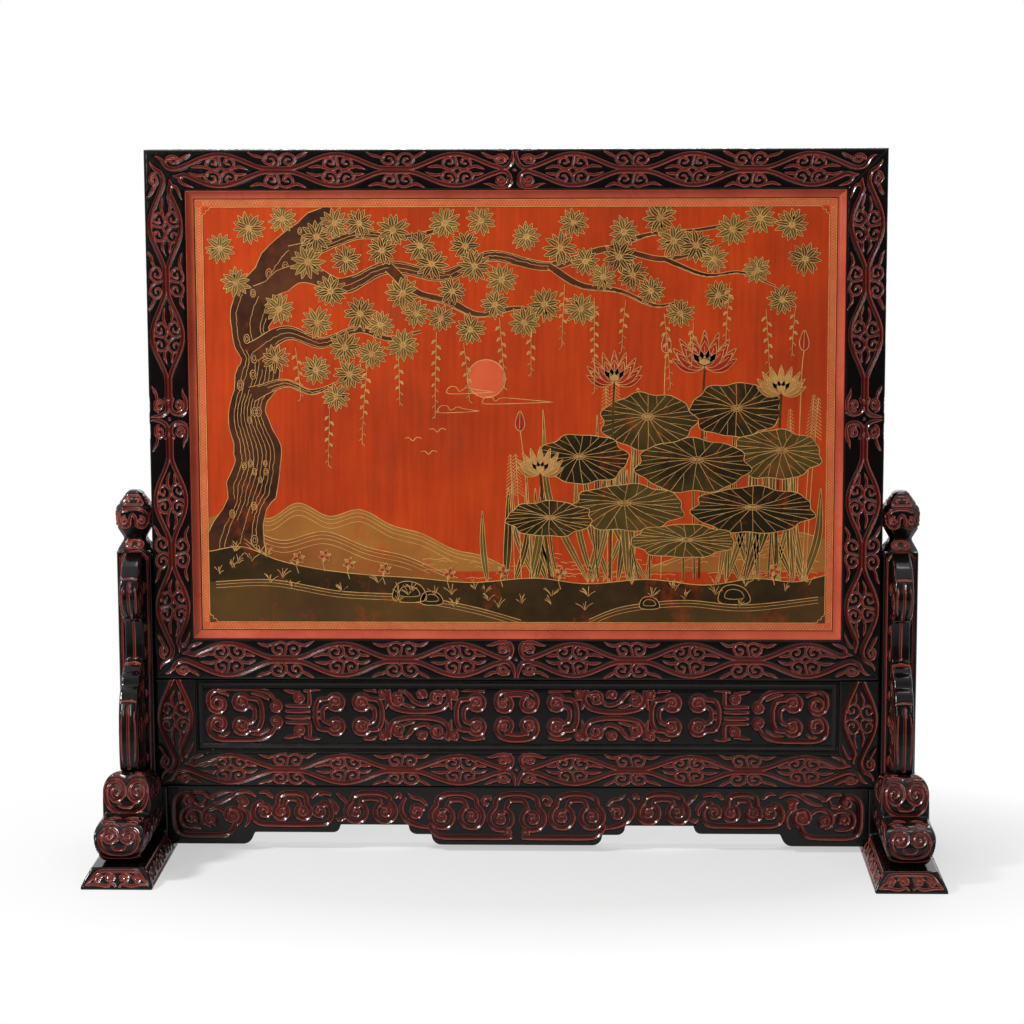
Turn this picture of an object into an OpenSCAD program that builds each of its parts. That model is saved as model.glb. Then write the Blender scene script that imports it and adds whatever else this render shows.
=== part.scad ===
// Table screen: a framed lacquer picture panel that drops between the posts of a footed stand.
// The front faces -Y, and the origin is on the ground under the middle of the screen.

/* [Screen frame] */
// Width of the frame over its two stiles
frame_w = 655; // [560:5:740]
// Height of the frame from its seat on the stand to its top
frame_h = 476; // [400:2:520]
// Thickness of the frame from front to back
frame_t = 34; // [32:1:40]
// Face width of the top rail and of the two stiles
rail_face = 36; // [32:1:44]
// Face width of the bottom rail
bottom_rail_face = 38; // [32:1:46]
// Radius of the frame's worn edges
arris_r = 2.5; // [1:0.5:4]
// Thickness of the tenons at the corners
tenon_t = 12; // [8:1:14]
// Wood left beyond the end of a tenon
tenon_cover = 8; // [7:0.5:10]
// Wood left between a corner tenon and the rail's outer edge
tenon_margin = 4; // [3:0.5:6]
// Wood left between a corner tenon and the groove of the boards
groove_web = 1; // [0.5:0.25:2]
// Length of a corner tenon's root inside its rail
tenon_root = 10; // [6:1:16]
// How far a corner peg goes past its tenon
peg_reach = 2; // [1:0.5:4]
// How far a corner peg's end lies below the frame's back
peg_cover = 0.5; // [0.3:0.1:1]

/* [Panel] */
// Thickness of the picture board and of the back board
board_t = 7; // [5:0.5:8]
// Thickness of the battens between the two boards
batten_t = 8; // [6:0.5:9]
// Width of one batten
batten_w = 42; // [30:1:60]
// Number of battens
batten_count = 4; // [2:1:6]
// Depth of the groove that holds the boards
groove_depth = 8; // [6:0.5:10]
// How far a board's edge enters the groove
board_bite = 6; // [4:0.5:7.5]
// Width of the red moulding round the picture
sight_w = 7; // [5:0.5:9]
// Height of that moulding above the board at its outer edge
sight_h = 4.5; // [3:0.5:5]
// Height of that moulding above the board at its inner edge
sight_lip = 1; // [0.5:0.25:2]
// Width of the flat along the top of a moulding's outer edge
mould_land = 0.6; // [0.4:0.1:1]
// Gap between the boards and the walls of their grooves
board_gap = 0.15; // [0.1:0.05:0.3]

/* [Posts] */
// Width of a post
post_w = 31.5; // [28:0.5:34]
// Depth of a post from front to back
post_t = 36; // [34:1:42]
// Gap between a post and the frame beside it
post_gap = 0.6; // [0.4:0.1:1]
// Height of a post's shoulder above the ground
shoulder_z = 277; // [250:1:310]
// Height of the sloped shoulder under the finial
shoulder_h = 10.5; // [8:0.5:16]
// Height of the finial above its neck
finial_h = 43; // [34:1:50]
// Width of the finial at its widest
finial_w = 33.5; // [28:0.5:33.5]
// How far the finial stands outwards of its post's middle
finial_shift = 0.6; // [0:0.1:1]
// Width of the finial's neck
neck_w = 19.5; // [14:0.5:22]
// Distance from a post's shoulder down to the top of the guide tongue on its inner face
tongue_drop = 10; // [8:1:40]
// Width of the guide tongue
tongue_w = 8; // [6:0.5:10]
// How far the guide tongue stands out
tongue_d = 5; // [3:0.25:6]

/* [Waist and lower rail] */
// Height of the screen's seat above the ground
seat_z = 159; // [150:1:170]
// Width of a short stile of the stand
waist_stile_w = 37.5; // [34:0.5:44]
// Height of the crossrail under the screen
crossrail_h = 9; // [7:0.5:10]
// How far the crossrail and the waist panel lie behind the frame's face
waist_setback = 7; // [6:0.5:8]
// Face height of the lower rail
lower_rail_h = 33; // [28:1:38]
// Width of the black moulding round the waist panel
waist_mould_w = 6; // [4:0.5:8]
// Depth of the waist panel's tongue in its grooves
waist_bite = 6; // [4:0.5:7]
// Height of that moulding above the waist panel at its inner edge
waist_mould_lip = 1; // [0.5:0.25:2]
// How far that moulding lies behind the frame's face
waist_mould_set = 1; // [0.5:0.25:2]
// Gap between that moulding and the screen above it
waist_mould_gap = 0.4; // [0.3:0.1:0.8]
// Length of the crossrail's end tenons
crossrail_tenon = 12; // [8:1:16]
// Wood left above and below the crossrail's end tenons
crossrail_margin = 2; // [1.5:0.25:2.5]
// Height of the lower rail's end tenons
rail_tenon_h = 13; // [10:0.5:15]
// Height of those tenons above the rail's lower edge
rail_tenon_z = 5; // [4:0.5:6]
// Length of the root of those tenons inside the rail
rail_tenon_root = 6; // [4:1:10]

/* [Apron] */
// Thickness of an apron board
apron_t = 12; // [9:0.5:13]
// Height of the apron's lowest edge above the ground
apron_z = 6; // [3:0.5:8]
// Height of the arches above the lowest edge
arch_h = 18.5; // [14:0.5:24]
// Height of the two lower steps above the lowest edge
step_h = 11.5; // [8:0.5:13]
// Half length of the middle lobe
mid_lobe = 77.5; // [66:0.5:88]
// Length of the lobe beside the middle lobe
side_lobe = 21; // [16:1:26]
// Length of an arch beside the lobes
arch_len = 62.5; // [54:0.5:72]
// Length of the lobe at each end, beside the foot
end_lobe = 74.5; // [62:0.5:80]
// How far the side of an end lobe leans
end_lean = 5; // [2:1:8]
// Radius of the notches between two lobes
notch_r = 0.8; // [0.5:0.1:1.5]

/* [Feet] */
// Length of a foot from front to back
foot_len = 296; // [260:2:340]
// Width of a foot on the ground
foot_w = 63; // [58:0.5:68]
// Height of the flared base up to the drums
base_h = 18; // [16:0.5:22]
// Height of the block that the post stands on
block_z = 60; // [54:1:64]
// Width of the block that the post stands on
block_w = 50.7; // [46:0.1:62]
// Width of the base's top under the drums
base_top_w = 46; // [43:0.5:49]
// Height of the sloped band at the top of the base's flare
flare_band = 4; // [3:0.5:5]
// How much wider the base is at the bottom of that band
flare_step = 5; // [3:0.5:8]
// Height of the straight lip round the bottom of the base
base_lip = 2.5; // [1.5:0.5:4]
// Distance from the end of the foot to the front of the lower drum
low_drum_setback = 15; // [12:1:24]
// Greatest width of the lower drum
low_drum_w = 45.3; // [42:0.3:48]
// Width of the lower drum at its bottom
low_drum_end_w = 30; // [27:1:36]
// Width of the lower drum at its top
low_drum_top_w = 38; // [34:1:41]
// Height at which the lower drum is widest, as a share of the drum's height
low_drum_bulge = 0.75; // [0.5:0.05:0.8]
// Height of the lower drum's top above the ground
low_drum_z = 53; // [50:1:57]
// Distance from the front of the lower drum to the front of the upper drum
high_drum_setback = 43; // [36:1:48]
// Length of the upper drum's round nose, in front of the spandrel's foot
high_nose_run = 20; // [14:1:24]
// Height of that nose
high_nose_drop = 27; // [20:1:30]
// Height of the upper drum's round shoulders, seen from the front
high_shoulder_h = 17; // [10:1:20]
// Width of the upper drum
high_drum_w = 42; // [38:0.5:44]
// Height of the upper drum's top above the ground, at the spandrel's foot
high_drum_z = 87; // [82:1:94]
// How far that top falls from there back to the post
high_drum_fall = 10; // [4:1:14]
// Thickness of a spandrel
spandrel_t = 17; // [13:0.5:20]
// Distance from a post's shoulder down to the tip of a spandrel
spandrel_drop = 0; // [0:1:20]

/* [Joints] */
// Gap round a hidden tenon
tenon_gap = 0.15; // [0.1:0.05:0.3]
// Gap on each side of the guide tongue
tongue_gap = 0.6; // [0.3:0.1:0.8]
// Radius of a wooden peg
peg_r = 4; // [3:0.25:4.5]
// Gap round a peg
peg_gap = 0.05; // [0.02:0.01:0.1]
// Length of a dowel between a post and the stand
dowel_len = 36; // [28:2:40]
// Wood left between the lower dowels and the top of the lower rail
dowel_margin_low = 4; // [2:0.5:8]
// Wood left between the upper dowels and the crossrail
dowel_margin_high = 2; // [1.5:0.5:8]
// Spare depth beyond the end of a tongue in its groove
groove_spare = 1; // [0.5:0.25:1.5]
// Width of the post's tenon in its foot
post_tenon_w = 18; // [14:1:20]
// Length of the post's tenon in its foot
post_tenon_len = 40; // [30:1:44]

/* [Hidden] */
$fn = 48;
// A hair of overlap for cuts, never left between two pieces
cut = 1;

LACQUER = [0.07, 0.03, 0.03];
RED_LACQUER = [0.55, 0.16, 0.08];
PICTURE = [0.66, 0.22, 0.09];
CORE_WOOD = [0.45, 0.32, 0.2];

// Frame
half_w = frame_w / 2;
frame_z = seat_z + frame_h;
sight_x = half_w - rail_face;
sight_low = seat_z + bottom_rail_face;
sight_high = frame_z - rail_face;
// Boards, from the middle of the frame outwards
board_face = batten_t / 2 + board_t;
tenon_room = groove_depth + groove_web + tenon_margin + 2 * tenon_gap;
tenon_h = rail_face - tenon_room;
tenon_mid_top = sight_high + groove_depth + groove_web + tenon_gap + tenon_h / 2;
bottom_tenon_h = bottom_rail_face - tenon_room;
tenon_mid_low = sight_low - groove_depth - groove_web - tenon_gap - bottom_tenon_h / 2;
tenon_tip = half_w - tenon_cover;
peg_x = sight_x + rail_face / 2;
peg_tip = -tenon_t / 2 - peg_reach;

// Stand
post_in = half_w + post_gap;
post_x = post_in + post_w / 2;
neck_z = shoulder_z + shoulder_h;
waist_x = post_in - waist_stile_w;
rail_top = block_z + lower_rail_h;
crossrail_z = seat_z - crossrail_h;
waist_face = frame_t / 2 - waist_setback;
tongue_h = shoulder_z - tongue_drop - seat_z;
mould_top = seat_z - waist_mould_gap;
apron_x = post_x - block_w / 2;
foot_half = foot_len / 2;
post_face = post_t / 2;
dowel_zs = [rail_top + dowel_margin_low + peg_r, crossrail_z - dowel_margin_high - peg_r];
low_nose_r = (low_drum_z - base_h) / 2;
low_drum_reach = foot_half - post_face - low_drum_setback;
high_drum_reach = low_drum_reach - high_drum_setback;
spandrel_reach = high_drum_reach - high_nose_run;
spandrel_h = shoulder_z - spandrel_drop - high_drum_z;
drum_slope = high_drum_fall / spandrel_reach;

// Finial, from its neck up: share of its height, share of its greatest width
FINIAL = [[0.27, 0.975], [0.45, 1], [0.63, 0.99], [0.94, 0.46], [1, 0.26]];
// Shares of the flare's height and depth at its middle bend
FLARE_BEND = [0.47, 0.33];
// Thickness of the slices that a lofted form runs between
slice = 0.02;

function unit(v) = v / norm(v);

// Arc that rounds the corner b between a and c
function corner(a, b, c, r, steps = 6) =
    let (u = unit(a - b), v = unit(c - b), half = acos(u * v) / 2,
         o = b + unit(u + v) * r / sin(half),
         p = b + u * r / tan(half) - o, q = b + v * r / tan(half) - o,
         start = atan2(p.y, p.x), turn = (atan2(q.y, q.x) - start + 3 * 180) % 360 - 180)
    [for (i = [0 : steps]) o + r * [cos(start + turn * i / steps), sin(start + turn * i / steps)]];

// Outline whose corners are [x, y, radius]
function rounded(c) =
    [for (i = [0 : len(c) - 1])
        let (a = c[(i + len(c) - 1) % len(c)], b = c[i], d = c[(i + 1) % len(c)])
        each (b[2] > 0 ? corner([a.x, a.y], [b.x, b.y], [d.x, d.y], b[2]) : [[b.x, b.y]])];

// Cubic curve from p to s, without its first point
function curve(p, q, r, s, steps = 7) =
    [for (i = [1 : steps]) let (t = i / steps, k = 1 - t)
        p * k * k * k + q * 3 * k * k * t + r * 3 * k * t * t + s * t * t * t];

// Rectangle with true round corners
module soft_rect(w, h, r) {
    square([w - 2 * r, h], center = true);
    square([w, h - 2 * r], center = true);
    for (i = [-1, 1], j = [-1, 1]) translate([i * (w / 2 - r), j * (h / 2 - r)]) circle(r);
}

// Outline in the XZ plane, given thickness t about y = 0
module upright(t) {
    rotate([90, 0, 0]) linear_extrude(t, center = true) children();
}

// Outline in the YZ plane (x of the outline is y), given width w about x = 0
module sideways(w) {
    rotate([90, 0, 90]) linear_extrude(w, center = true) children();
}

// Puts its child, drawn on the left, on the right when side is 1
module on_side(side) {
    if (side > 0) mirror([1, 0, 0]) children();
    else children();
}

// Space between two mitred outlines: one side of a ring, cut at 45 degrees or so at its ends
module ring_side(outer, inner, t) {
    upright(t) polygon([outer[0], outer[1], inner[1], inner[0]]);
}

// The space of the grooves that hold the boards
module board_space() {
    translate([-sight_x - groove_depth, -board_face - board_gap, sight_low - groove_depth])
        cube([2 * (sight_x + groove_depth), 2 * (board_face + board_gap),
              sight_high - sight_low + 2 * groove_depth]);
}

// Left corner tenon of a rail, from inside the rail to its tip in the stile, or its mortise with a gap
module tenon(z, h, gap) {
    translate([-tenon_tip - gap, -tenon_t / 2 - gap, z - h / 2 - gap])
        cube([tenon_tip + gap - sight_x + tenon_root, tenon_t + 2 * gap, h + 2 * gap]);
}

// Pegs through the four corner tenons from the back, or their holes
module frame_peg_set(r, low_y, high_y) {
    for (x = [-peg_x, peg_x], z = [tenon_mid_top, tenon_mid_low])
        translate([x, high_y, z]) rotate([90, 0, 0]) cylinder(r = r, h = high_y - low_y);
}

// Groove of the left post's tongue, up from the frame's lower edge
module tongue_groove() {
    translate([-half_w - cut, -tongue_w / 2 - tongue_gap, seat_z - cut])
        cube([tongue_d + tongue_gap - post_gap + cut, tongue_w + 2 * tongue_gap,
              tongue_h + tongue_gap + cut]);
}

// Rail of the frame: mitred ends with a tenon at each end
module frame_rail(z_out, z_in, tenon_z, h) {
    color(LACQUER) difference() {
        union() {
            intersection() {
                translate([0, 0, (z_out + z_in) / 2])
                    sideways(frame_w) soft_rect(frame_t, abs(z_out - z_in), arris_r);
                ring_side([[-half_w, z_out], [half_w, z_out]], [[-sight_x, z_in], [sight_x, z_in]], frame_t);
            }
            for (side = [-1, 1]) on_side(side) tenon(tenon_z, h, 0);
        }
        board_space();
        frame_peg_set(peg_r + peg_gap, peg_tip - peg_gap, frame_t);
        for (side = [-1, 1]) on_side(side) tongue_groove();
    }
}

// Left stile of the frame, with its mortises and the groove that runs on the post's tongue
module frame_stile() {
    color(LACQUER) difference() {
        intersection() {
            translate([-half_w + rail_face / 2, 0, seat_z])
                linear_extrude(frame_h) soft_rect(rail_face, frame_t, arris_r);
            ring_side([[-half_w, seat_z], [-half_w, frame_z]],
                      [[-sight_x, sight_low], [-sight_x, sight_high]], frame_t);
        }
        board_space();
        tenon(tenon_mid_top, tenon_h, tenon_gap);
        tenon(tenon_mid_low, bottom_tenon_h, tenon_gap);
        frame_peg_set(peg_r + peg_gap, peg_tip - peg_gap, frame_t);
        tongue_groove();
    }
}

module frame_top_rail() { frame_rail(frame_z, sight_high, tenon_mid_top, tenon_h); }
module frame_bottom_rail() { frame_rail(seat_z, sight_low, tenon_mid_low, bottom_tenon_h); }
module frame_stile_left() { frame_stile(); }
module frame_stile_right() { mirror([1, 0, 0]) frame_stile(); }

module frame_pegs() {
    color(CORE_WOOD) frame_peg_set(peg_r, peg_tip, frame_t / 2 - peg_cover);
}

// A board that fills the frame's grooves, its face on the side of sign
module board(side) {
    w = 2 * (sight_x + board_bite);
    translate([-w / 2, side > 0 ? batten_t / 2 : -board_face, sight_low - board_bite])
        cube([w, board_t, sight_high - sight_low + 2 * board_bite]);
}

module picture_panel() { color(PICTURE) board(-1); }
module back_panel() { color(LACQUER) board(1); }

// Upright battens that keep the two boards apart and flat
module panel_battens() {
    pitch = 2 * sight_x / batten_count;
    color(CORE_WOOD)
        for (i = [0 : batten_count - 1])
            translate([-sight_x + pitch * (i + 0.5) - batten_w / 2, -batten_t / 2, sight_low - board_bite])
                cube([batten_w, batten_t, sight_high - sight_low + 2 * board_bite]);
}

// Channel with the moulding's section for walls, half a width of reach to each side, along the extrusion
module moulding_channel(reach, length, w, rise, lip) {
    drop = rise - lip;
    edge = reach - mould_land;
    inner = reach - w;
    wall = concat([[edge, rise + cut], [edge, rise]],
                  curve([edge, rise], [edge - w * 0.25, lip + drop * 0.35],
                        [edge - w * 0.5, lip + drop * 0.1], [inner, lip], 5),
                  [[inner, -cut]]);
    linear_extrude(length, center = true)
        polygon(concat(wall, [for (i = [len(wall) - 1 : -1 : 0]) [-wall[i].x, wall[i].y]]));
}

// Ring of moulding inside the rectangle x, low to high. The section falls from rise to lip over width w.
module moulding_ring(x, low, high, w, rise, lip, face) {
    span = 2 * max(x, high - low);
    half_h = (high - low) / 2;
    translate([0, -face, (low + high) / 2]) difference() {
        translate([-x, -rise, -half_h]) cube([2 * x, rise, 2 * half_h]);
        intersection() {
            mirror([0, 1, 0]) moulding_channel(x, span, w, rise, lip);
            rotate([0, 90, 0]) mirror([0, 1, 0]) moulding_channel(half_h, span, w, rise, lip);
        }
    }
}

module sight_moulding_front() {
    color(RED_LACQUER) moulding_ring(sight_x, sight_low, sight_high, sight_w, sight_h, sight_lip, board_face);
}

module sight_moulding_rear() { mirror([0, 1, 0]) sight_moulding_front(); }

// Octagon with wide faces and narrow corners, w across the faces
module chamfered(w, depth) {
    c = w * 0.2;
    x = w / 2;
    y = depth / 2;
    polygon([[-x + c, -y], [x - c, -y], [x, -y + c], [x, y - c],
             [x - c, y], [-x + c, y], [-x, y - c], [-x, -y + c]]);
}

// Solid between two chamfered slices, each given as [height, width, depth]
module facet_band(a, b) {
    hull() {
        translate([0, 0, a.x]) linear_extrude(slice) chamfered(a.y, a.z);
        translate([0, 0, b.x - slice]) linear_extrude(slice) chamfered(b.y, b.z);
    }
}

// Sloped shoulder of a post, up to the finial's neck
module shoulder() {
    hull() {
        translate([0, 0, shoulder_z]) linear_extrude(slice) chamfered(post_w, post_t);
        translate([-finial_shift, 0, neck_z - slice]) linear_extrude(slice) chamfered(neck_w, neck_w);
    }
}

// Faceted bud of a finial, from its neck up
module finial() {
    levels = concat([[neck_z - slice, neck_w, neck_w]],
                    [for (f = FINIAL) [neck_z + finial_h * f.x, finial_w * f.y, finial_w * f.y]]);
    for (i = [0 : len(levels) - 2]) facet_band(levels[i], levels[i + 1]);
}

// Dowels or their holes between the left post and the short stile beside it
module side_dowels(r) {
    for (z = dowel_zs)
        translate([-post_in, 0, z]) rotate([0, 90, 0]) cylinder(r = r, h = dowel_len, center = true);
}

// Left post, from its tenon in the foot to its finial
module post() {
    color(LACQUER) difference() {
        union() {
            translate([-post_x, 0, block_z])
                linear_extrude(shoulder_z - block_z) soft_rect(post_w, post_t, arris_r);
            translate([-post_x, 0, 0]) shoulder();
            translate([-post_x - finial_shift, 0, 0]) finial();
            translate([-post_x - post_tenon_w / 2, -post_tenon_w / 2, block_z - post_tenon_len])
                cube([post_tenon_w, post_tenon_w, post_tenon_len]);
            translate([-post_in - cut, -tongue_w / 2, seat_z])
                cube([tongue_d + cut, tongue_w, tongue_h]);
        }
        side_dowels(peg_r + peg_gap);
    }
}

module post_left() { post(); }
module post_right() { mirror([1, 0, 0]) post(); }

// Flared base with the block that carries the post
module base() {
    depth = (foot_w - base_top_w) / 2;
    // Height of each bend of the flare, and how far the sides have drawn in there
    bends = [[base_lip, 0], [base_h * FLARE_BEND.x, depth * FLARE_BEND.y],
             [base_h - flare_band, depth - flare_step / 2], [base_h, depth]];
    color(LACQUER) difference() {
        union() {
            translate([-post_x - foot_w / 2, -foot_half, 0]) cube([foot_w, foot_len, base_lip]);
            for (i = [0 : len(bends) - 2])
                hull() for (b = [bends[i], bends[i + 1]])
                    translate([-post_x - foot_w / 2 + b.y, -foot_half + b.y, b.x - slice])
                        cube([foot_w - 2 * b.y, foot_len - 2 * b.y, slice]);
            translate([-post_x - block_w / 2, -post_face, base_lip / 2])
                cube([block_w, post_t, block_z - base_lip / 2]);
        }
        translate([-post_x - post_tenon_w / 2 - tenon_gap, -post_tenon_w / 2 - tenon_gap,
                   block_z - post_tenon_len - tenon_gap])
            cube([post_tenon_w + 2 * tenon_gap, post_tenon_w + 2 * tenon_gap, post_tenon_len + cut]);
        // Slots in the flare for the ends of the two aprons
        for (side = [-1, 1])
            translate([-apron_x, side * (frame_t - apron_t) / 2 - apron_t / 2 - tenon_gap, apron_z - tenon_gap])
                cube([apron_x - post_x + foot_w / 2 + cut, apron_t + 2 * tenon_gap, base_h]);
    }
}

module base_left() { base(); }
module base_right() { mirror([1, 0, 0]) base(); }

// Front outline of the lower drum: bulging sides, widest near the top
module low_drum_outline() {
    side = low_drum_w / 2;
    low = low_drum_end_w / 2;
    high = low_drum_top_w / 2;
    tall = low_drum_z - base_h;
    below = [for (i = [0 : 7]) let (s = i / 8)
        [low + (side - low) * sin(90 * s), base_h + tall * low_drum_bulge * s]];
    above = [for (i = [0 : 5]) let (s = i / 5)
        [high + (side - high) * cos(90 * s), base_h + tall * (low_drum_bulge + (1 - low_drum_bulge) * s)]];
    edge = concat(below, above);
    polygon(concat(edge, [for (i = [len(edge) - 1 : -1 : 0]) [-edge[i].x, edge[i].y]]));
}

// Front outline of the upper drum: flat as wide as the spandrel, then round shoulders
module high_drum_outline() {
    flat = spandrel_t / 2;
    run = high_drum_w / 2 - flat;
    steps = 8;
    edge = [for (i = [0 : steps]) let (t = 90 * i / steps)
        [flat + run * cos(t), high_drum_z - high_shoulder_h * (1 - sin(t))]];
    polygon(concat([[flat + run, base_h]], edge,
                   [for (i = [steps : -1 : 0]) [-edge[i].x, edge[i].y]], [[-flat - run, base_h]]));
}

// Side outline of the lower drum: a block with a half-round nose
module low_drum_side() {
    r = low_nose_r;
    translate([-post_face - low_drum_reach + r, base_h]) square([low_drum_reach - r, 2 * r]);
    translate([-post_face - low_drum_reach + r, base_h + r]) circle(r);
}

// Side outline of the upper drum: its top rises from the post to the spandrel's foot and turns down in a nose
module high_drum_side() {
    p = spandrel_reach;
    q = high_drum_reach;
    bottom = base_h + low_nose_r;
    top = [p, high_drum_z];
    nose = curve(top, top + [high_nose_run * 0.6, high_nose_run * 0.6 * drum_slope],
                 [q, high_drum_z - high_nose_drop * 0.35], [q, high_drum_z - high_nose_drop], 9);
    translate([-post_face, 0])
        polygon([for (v = concat([[0, bottom], [0, high_drum_z - high_drum_fall], top], nose, [[q, bottom]]))
            [-v.x, v.y]]);
}

// Front drum block of the left foot: a lower and an upper drum, one behind the other
module drum() {
    // Tilts the upper drum's outline so that its top follows the slope towards the post
    tilt = [[1, 0, 0, 0], [0, 1, 0, 0], [0, -drum_slope, 1, -drum_slope * (post_face + spandrel_reach)], [0, 0, 0, 1]];
    color(LACQUER) translate([-post_x, 0, 0]) {
        intersection() {
            upright(2 * foot_len) low_drum_outline();
            sideways(2 * foot_w) low_drum_side();
        }
        intersection() {
            multmatrix(tilt) upright(2 * foot_len) high_drum_outline();
            sideways(2 * foot_w) high_drum_side();
        }
    }
}

module drum_left_front() { drum(); }
module drum_left_rear() { mirror([0, 1, 0]) drum(); }
module drum_right_front() { mirror([1, 0, 0]) drum(); }
module drum_right_rear() { mirror([1, 0, 0]) mirror([0, 1, 0]) drum(); }

// Reach and height at which the spandrel's outline below is drawn
SPANDREL_DRAWN = [52, 190];

// Cusped side outline of a spandrel, as distances from the post's face and heights above its foot
function spandrel_points() =
    let (w = spandrel_reach / SPANDREL_DRAWN.x, h = spandrel_h / SPANDREL_DRAWN.y,
         p = concat([[0, -high_drum_fall / h], [52, 0]],
                    curve([52, 0], [56, 20], [56, 44], [49, 62], 5),
                    curve([46, 64], [46, 69], [43, 73], [37, 74], 4),
                    curve([35, 76], [35, 81], [32, 84], [26, 85], 4),
                    curve([24, 87], [24, 90], [19, 92], [9, 92], 4),
                    curve([9, 92], [7.5, 104], [8, 118], [11, 129], 5),
                    curve([11, 129], [30, 131], [43, 150], [31, 168], 7),
                    curve([27, 171], [25, 179], [15, 184], [0, SPANDREL_DRAWN.y], 5)))
    [for (q = p) [-q.x * w, q.y * h]];

// Front spandrel of the left post, standing on the drum
module spandrel() {
    color(LACQUER) translate([-post_x, -post_face, high_drum_z]) sideways(spandrel_t) polygon(spandrel_points());
}

module spandrel_left_front() { spandrel(); }
module spandrel_left_rear() { mirror([0, 1, 0]) spandrel(); }
module spandrel_right_front() { mirror([1, 0, 0]) spandrel(); }
module spandrel_right_rear() { mirror([1, 0, 0]) mirror([0, 1, 0]) spandrel(); }

// Grooves that hold the waist panel
module waist_space() {
    reach = waist_bite + groove_spare;
    translate([-waist_x - reach, -waist_face - tenon_gap, rail_top - reach])
        cube([2 * (waist_x + reach), 2 * (waist_face + tenon_gap), crossrail_z - rail_top + reach]);
}

// Tenon of the crossrail at the left, or its mortise with a gap round it
module crossrail_end(gap) {
    h = crossrail_h - 2 * crossrail_margin;
    translate([-waist_x - crossrail_tenon - gap, -tenon_t / 2 - gap, crossrail_z + crossrail_margin - gap])
        cube([crossrail_tenon + cut + gap, tenon_t + 2 * gap, h + 2 * gap]);
}

// Tenon of the lower rail at the left, or its mortise with a gap round it
module lower_rail_end(gap) {
    length = post_in - tenon_cover - waist_x + rail_tenon_root;
    translate([-post_in + tenon_cover - gap, -tenon_t / 2 - gap, block_z + rail_tenon_z - gap])
        cube([length + gap, tenon_t + 2 * gap, rail_tenon_h + 2 * gap]);
}

module stand_crossrail() {
    color(LACQUER) {
        translate([-waist_x, -waist_face, crossrail_z]) cube([2 * waist_x, 2 * waist_face, crossrail_h]);
        for (side = [-1, 1]) on_side(side) crossrail_end(0);
    }
}

// Short left stile of the stand, mitred to the lower rail
module stand_stile() {
    color(LACQUER) difference() {
        intersection() {
            translate([-(post_in + waist_x) / 2, 0, block_z])
                linear_extrude(seat_z - block_z) soft_rect(waist_stile_w, frame_t, arris_r);
            ring_side([[-post_in, block_z], [-post_in, seat_z]], [[-waist_x, rail_top], [-waist_x, seat_z]], frame_t);
        }
        waist_space();
        crossrail_end(tenon_gap);
        lower_rail_end(tenon_gap);
        side_dowels(peg_r + peg_gap);
    }
}

module stand_stile_left() { stand_stile(); }
module stand_stile_right() { mirror([1, 0, 0]) stand_stile(); }

module stand_lower_rail() {
    color(LACQUER) difference() {
        union() {
            intersection() {
                translate([0, 0, block_z + lower_rail_h / 2])
                    sideways(2 * post_in) soft_rect(frame_t, lower_rail_h, arris_r);
                ring_side([[-post_in, block_z], [post_in, block_z]], [[-waist_x, rail_top], [waist_x, rail_top]], frame_t);
            }
            for (side = [-1, 1]) on_side(side) lower_rail_end(0);
        }
        waist_space();
    }
}

module waist_panel() {
    w = waist_x + waist_bite;
    color(LACQUER) translate([-w, -waist_face, rail_top - waist_bite])
        cube([2 * w, 2 * waist_face, crossrail_z - rail_top + waist_bite]);
}

module waist_moulding_front() {
    color(LACQUER) moulding_ring(waist_x, rail_top, mould_top, waist_mould_w,
                                 waist_setback - waist_mould_set, waist_mould_lip, waist_face);
}

module waist_moulding_rear() { mirror([0, 1, 0]) waist_moulding_front(); }

// Right half of the apron's lower edge, from the middle outwards, as [x, z, radius]
function apron_half() =
    let (end = apron_x - tenon_gap, low = apron_z, high = apron_z + arch_h,
         inner = apron_z + step_h * 0.85, outer = apron_z + step_h * 0.97,
         a = mid_lobe, b = a + side_lobe, c = b + arch_len, d = end - end_lobe)
    [[a, low, (inner - low) * 0.9], [a, inner, notch_r], [b, inner, (high - inner) * 0.85], [b, high, notch_r],
     [c, high, notch_r], [c, outer, (high - outer) * 0.85], [d - end_lean, outer, notch_r * 2],
     [d, low, (outer - low) * 0.85], [end, low, 0]];

// Cusped apron board under the lower rail
module apron() {
    right = apron_half();
    left = [for (i = [len(right) - 1 : -1 : 0]) [-right[i].x, right[i].y, right[i][2]]];
    top = [[apron_x - tenon_gap, block_z, 0], [-apron_x + tenon_gap, block_z, 0]];
    color(LACQUER) translate([0, -frame_t / 2 + apron_t / 2, 0])
        upright(apron_t) polygon(rounded(concat(left, right, top)));
}

module apron_front() { apron(); }
module apron_rear() { mirror([0, 1, 0]) apron(); }

module stand_dowels() {
    color(CORE_WOOD) for (side = [-1, 1]) on_side(side) side_dowels(peg_r);
}

base_left();
base_right();
drum_left_front();
drum_left_rear();
drum_right_front();
drum_right_rear();
post_left();
post_right();
spandrel_left_front();
spandrel_left_rear();
spandrel_right_front();
spandrel_right_rear();
stand_crossrail();
stand_stile_left();
stand_stile_right();
stand_lower_rail();
waist_panel();
waist_moulding_front();
waist_moulding_rear();
apron_front();
apron_rear();
stand_dowels();
frame_top_rail();
frame_bottom_rail();
frame_stile_left();
frame_stile_right();
picture_panel();
back_panel();
panel_battens();
sight_moulding_front();
sight_moulding_rear();
frame_pegs();
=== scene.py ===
"""Looks of a carved lacquer table screen: black lacquer cut through to red in rounded grooves,
round a vermilion panel painted in olive, brown and gold. Lengths are in millimetres until a mesh is made."""
import math

import bpy
import numpy as np
from mathutils import Matrix, Vector
from mathutils.geometry import tessellate_polygon


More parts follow.
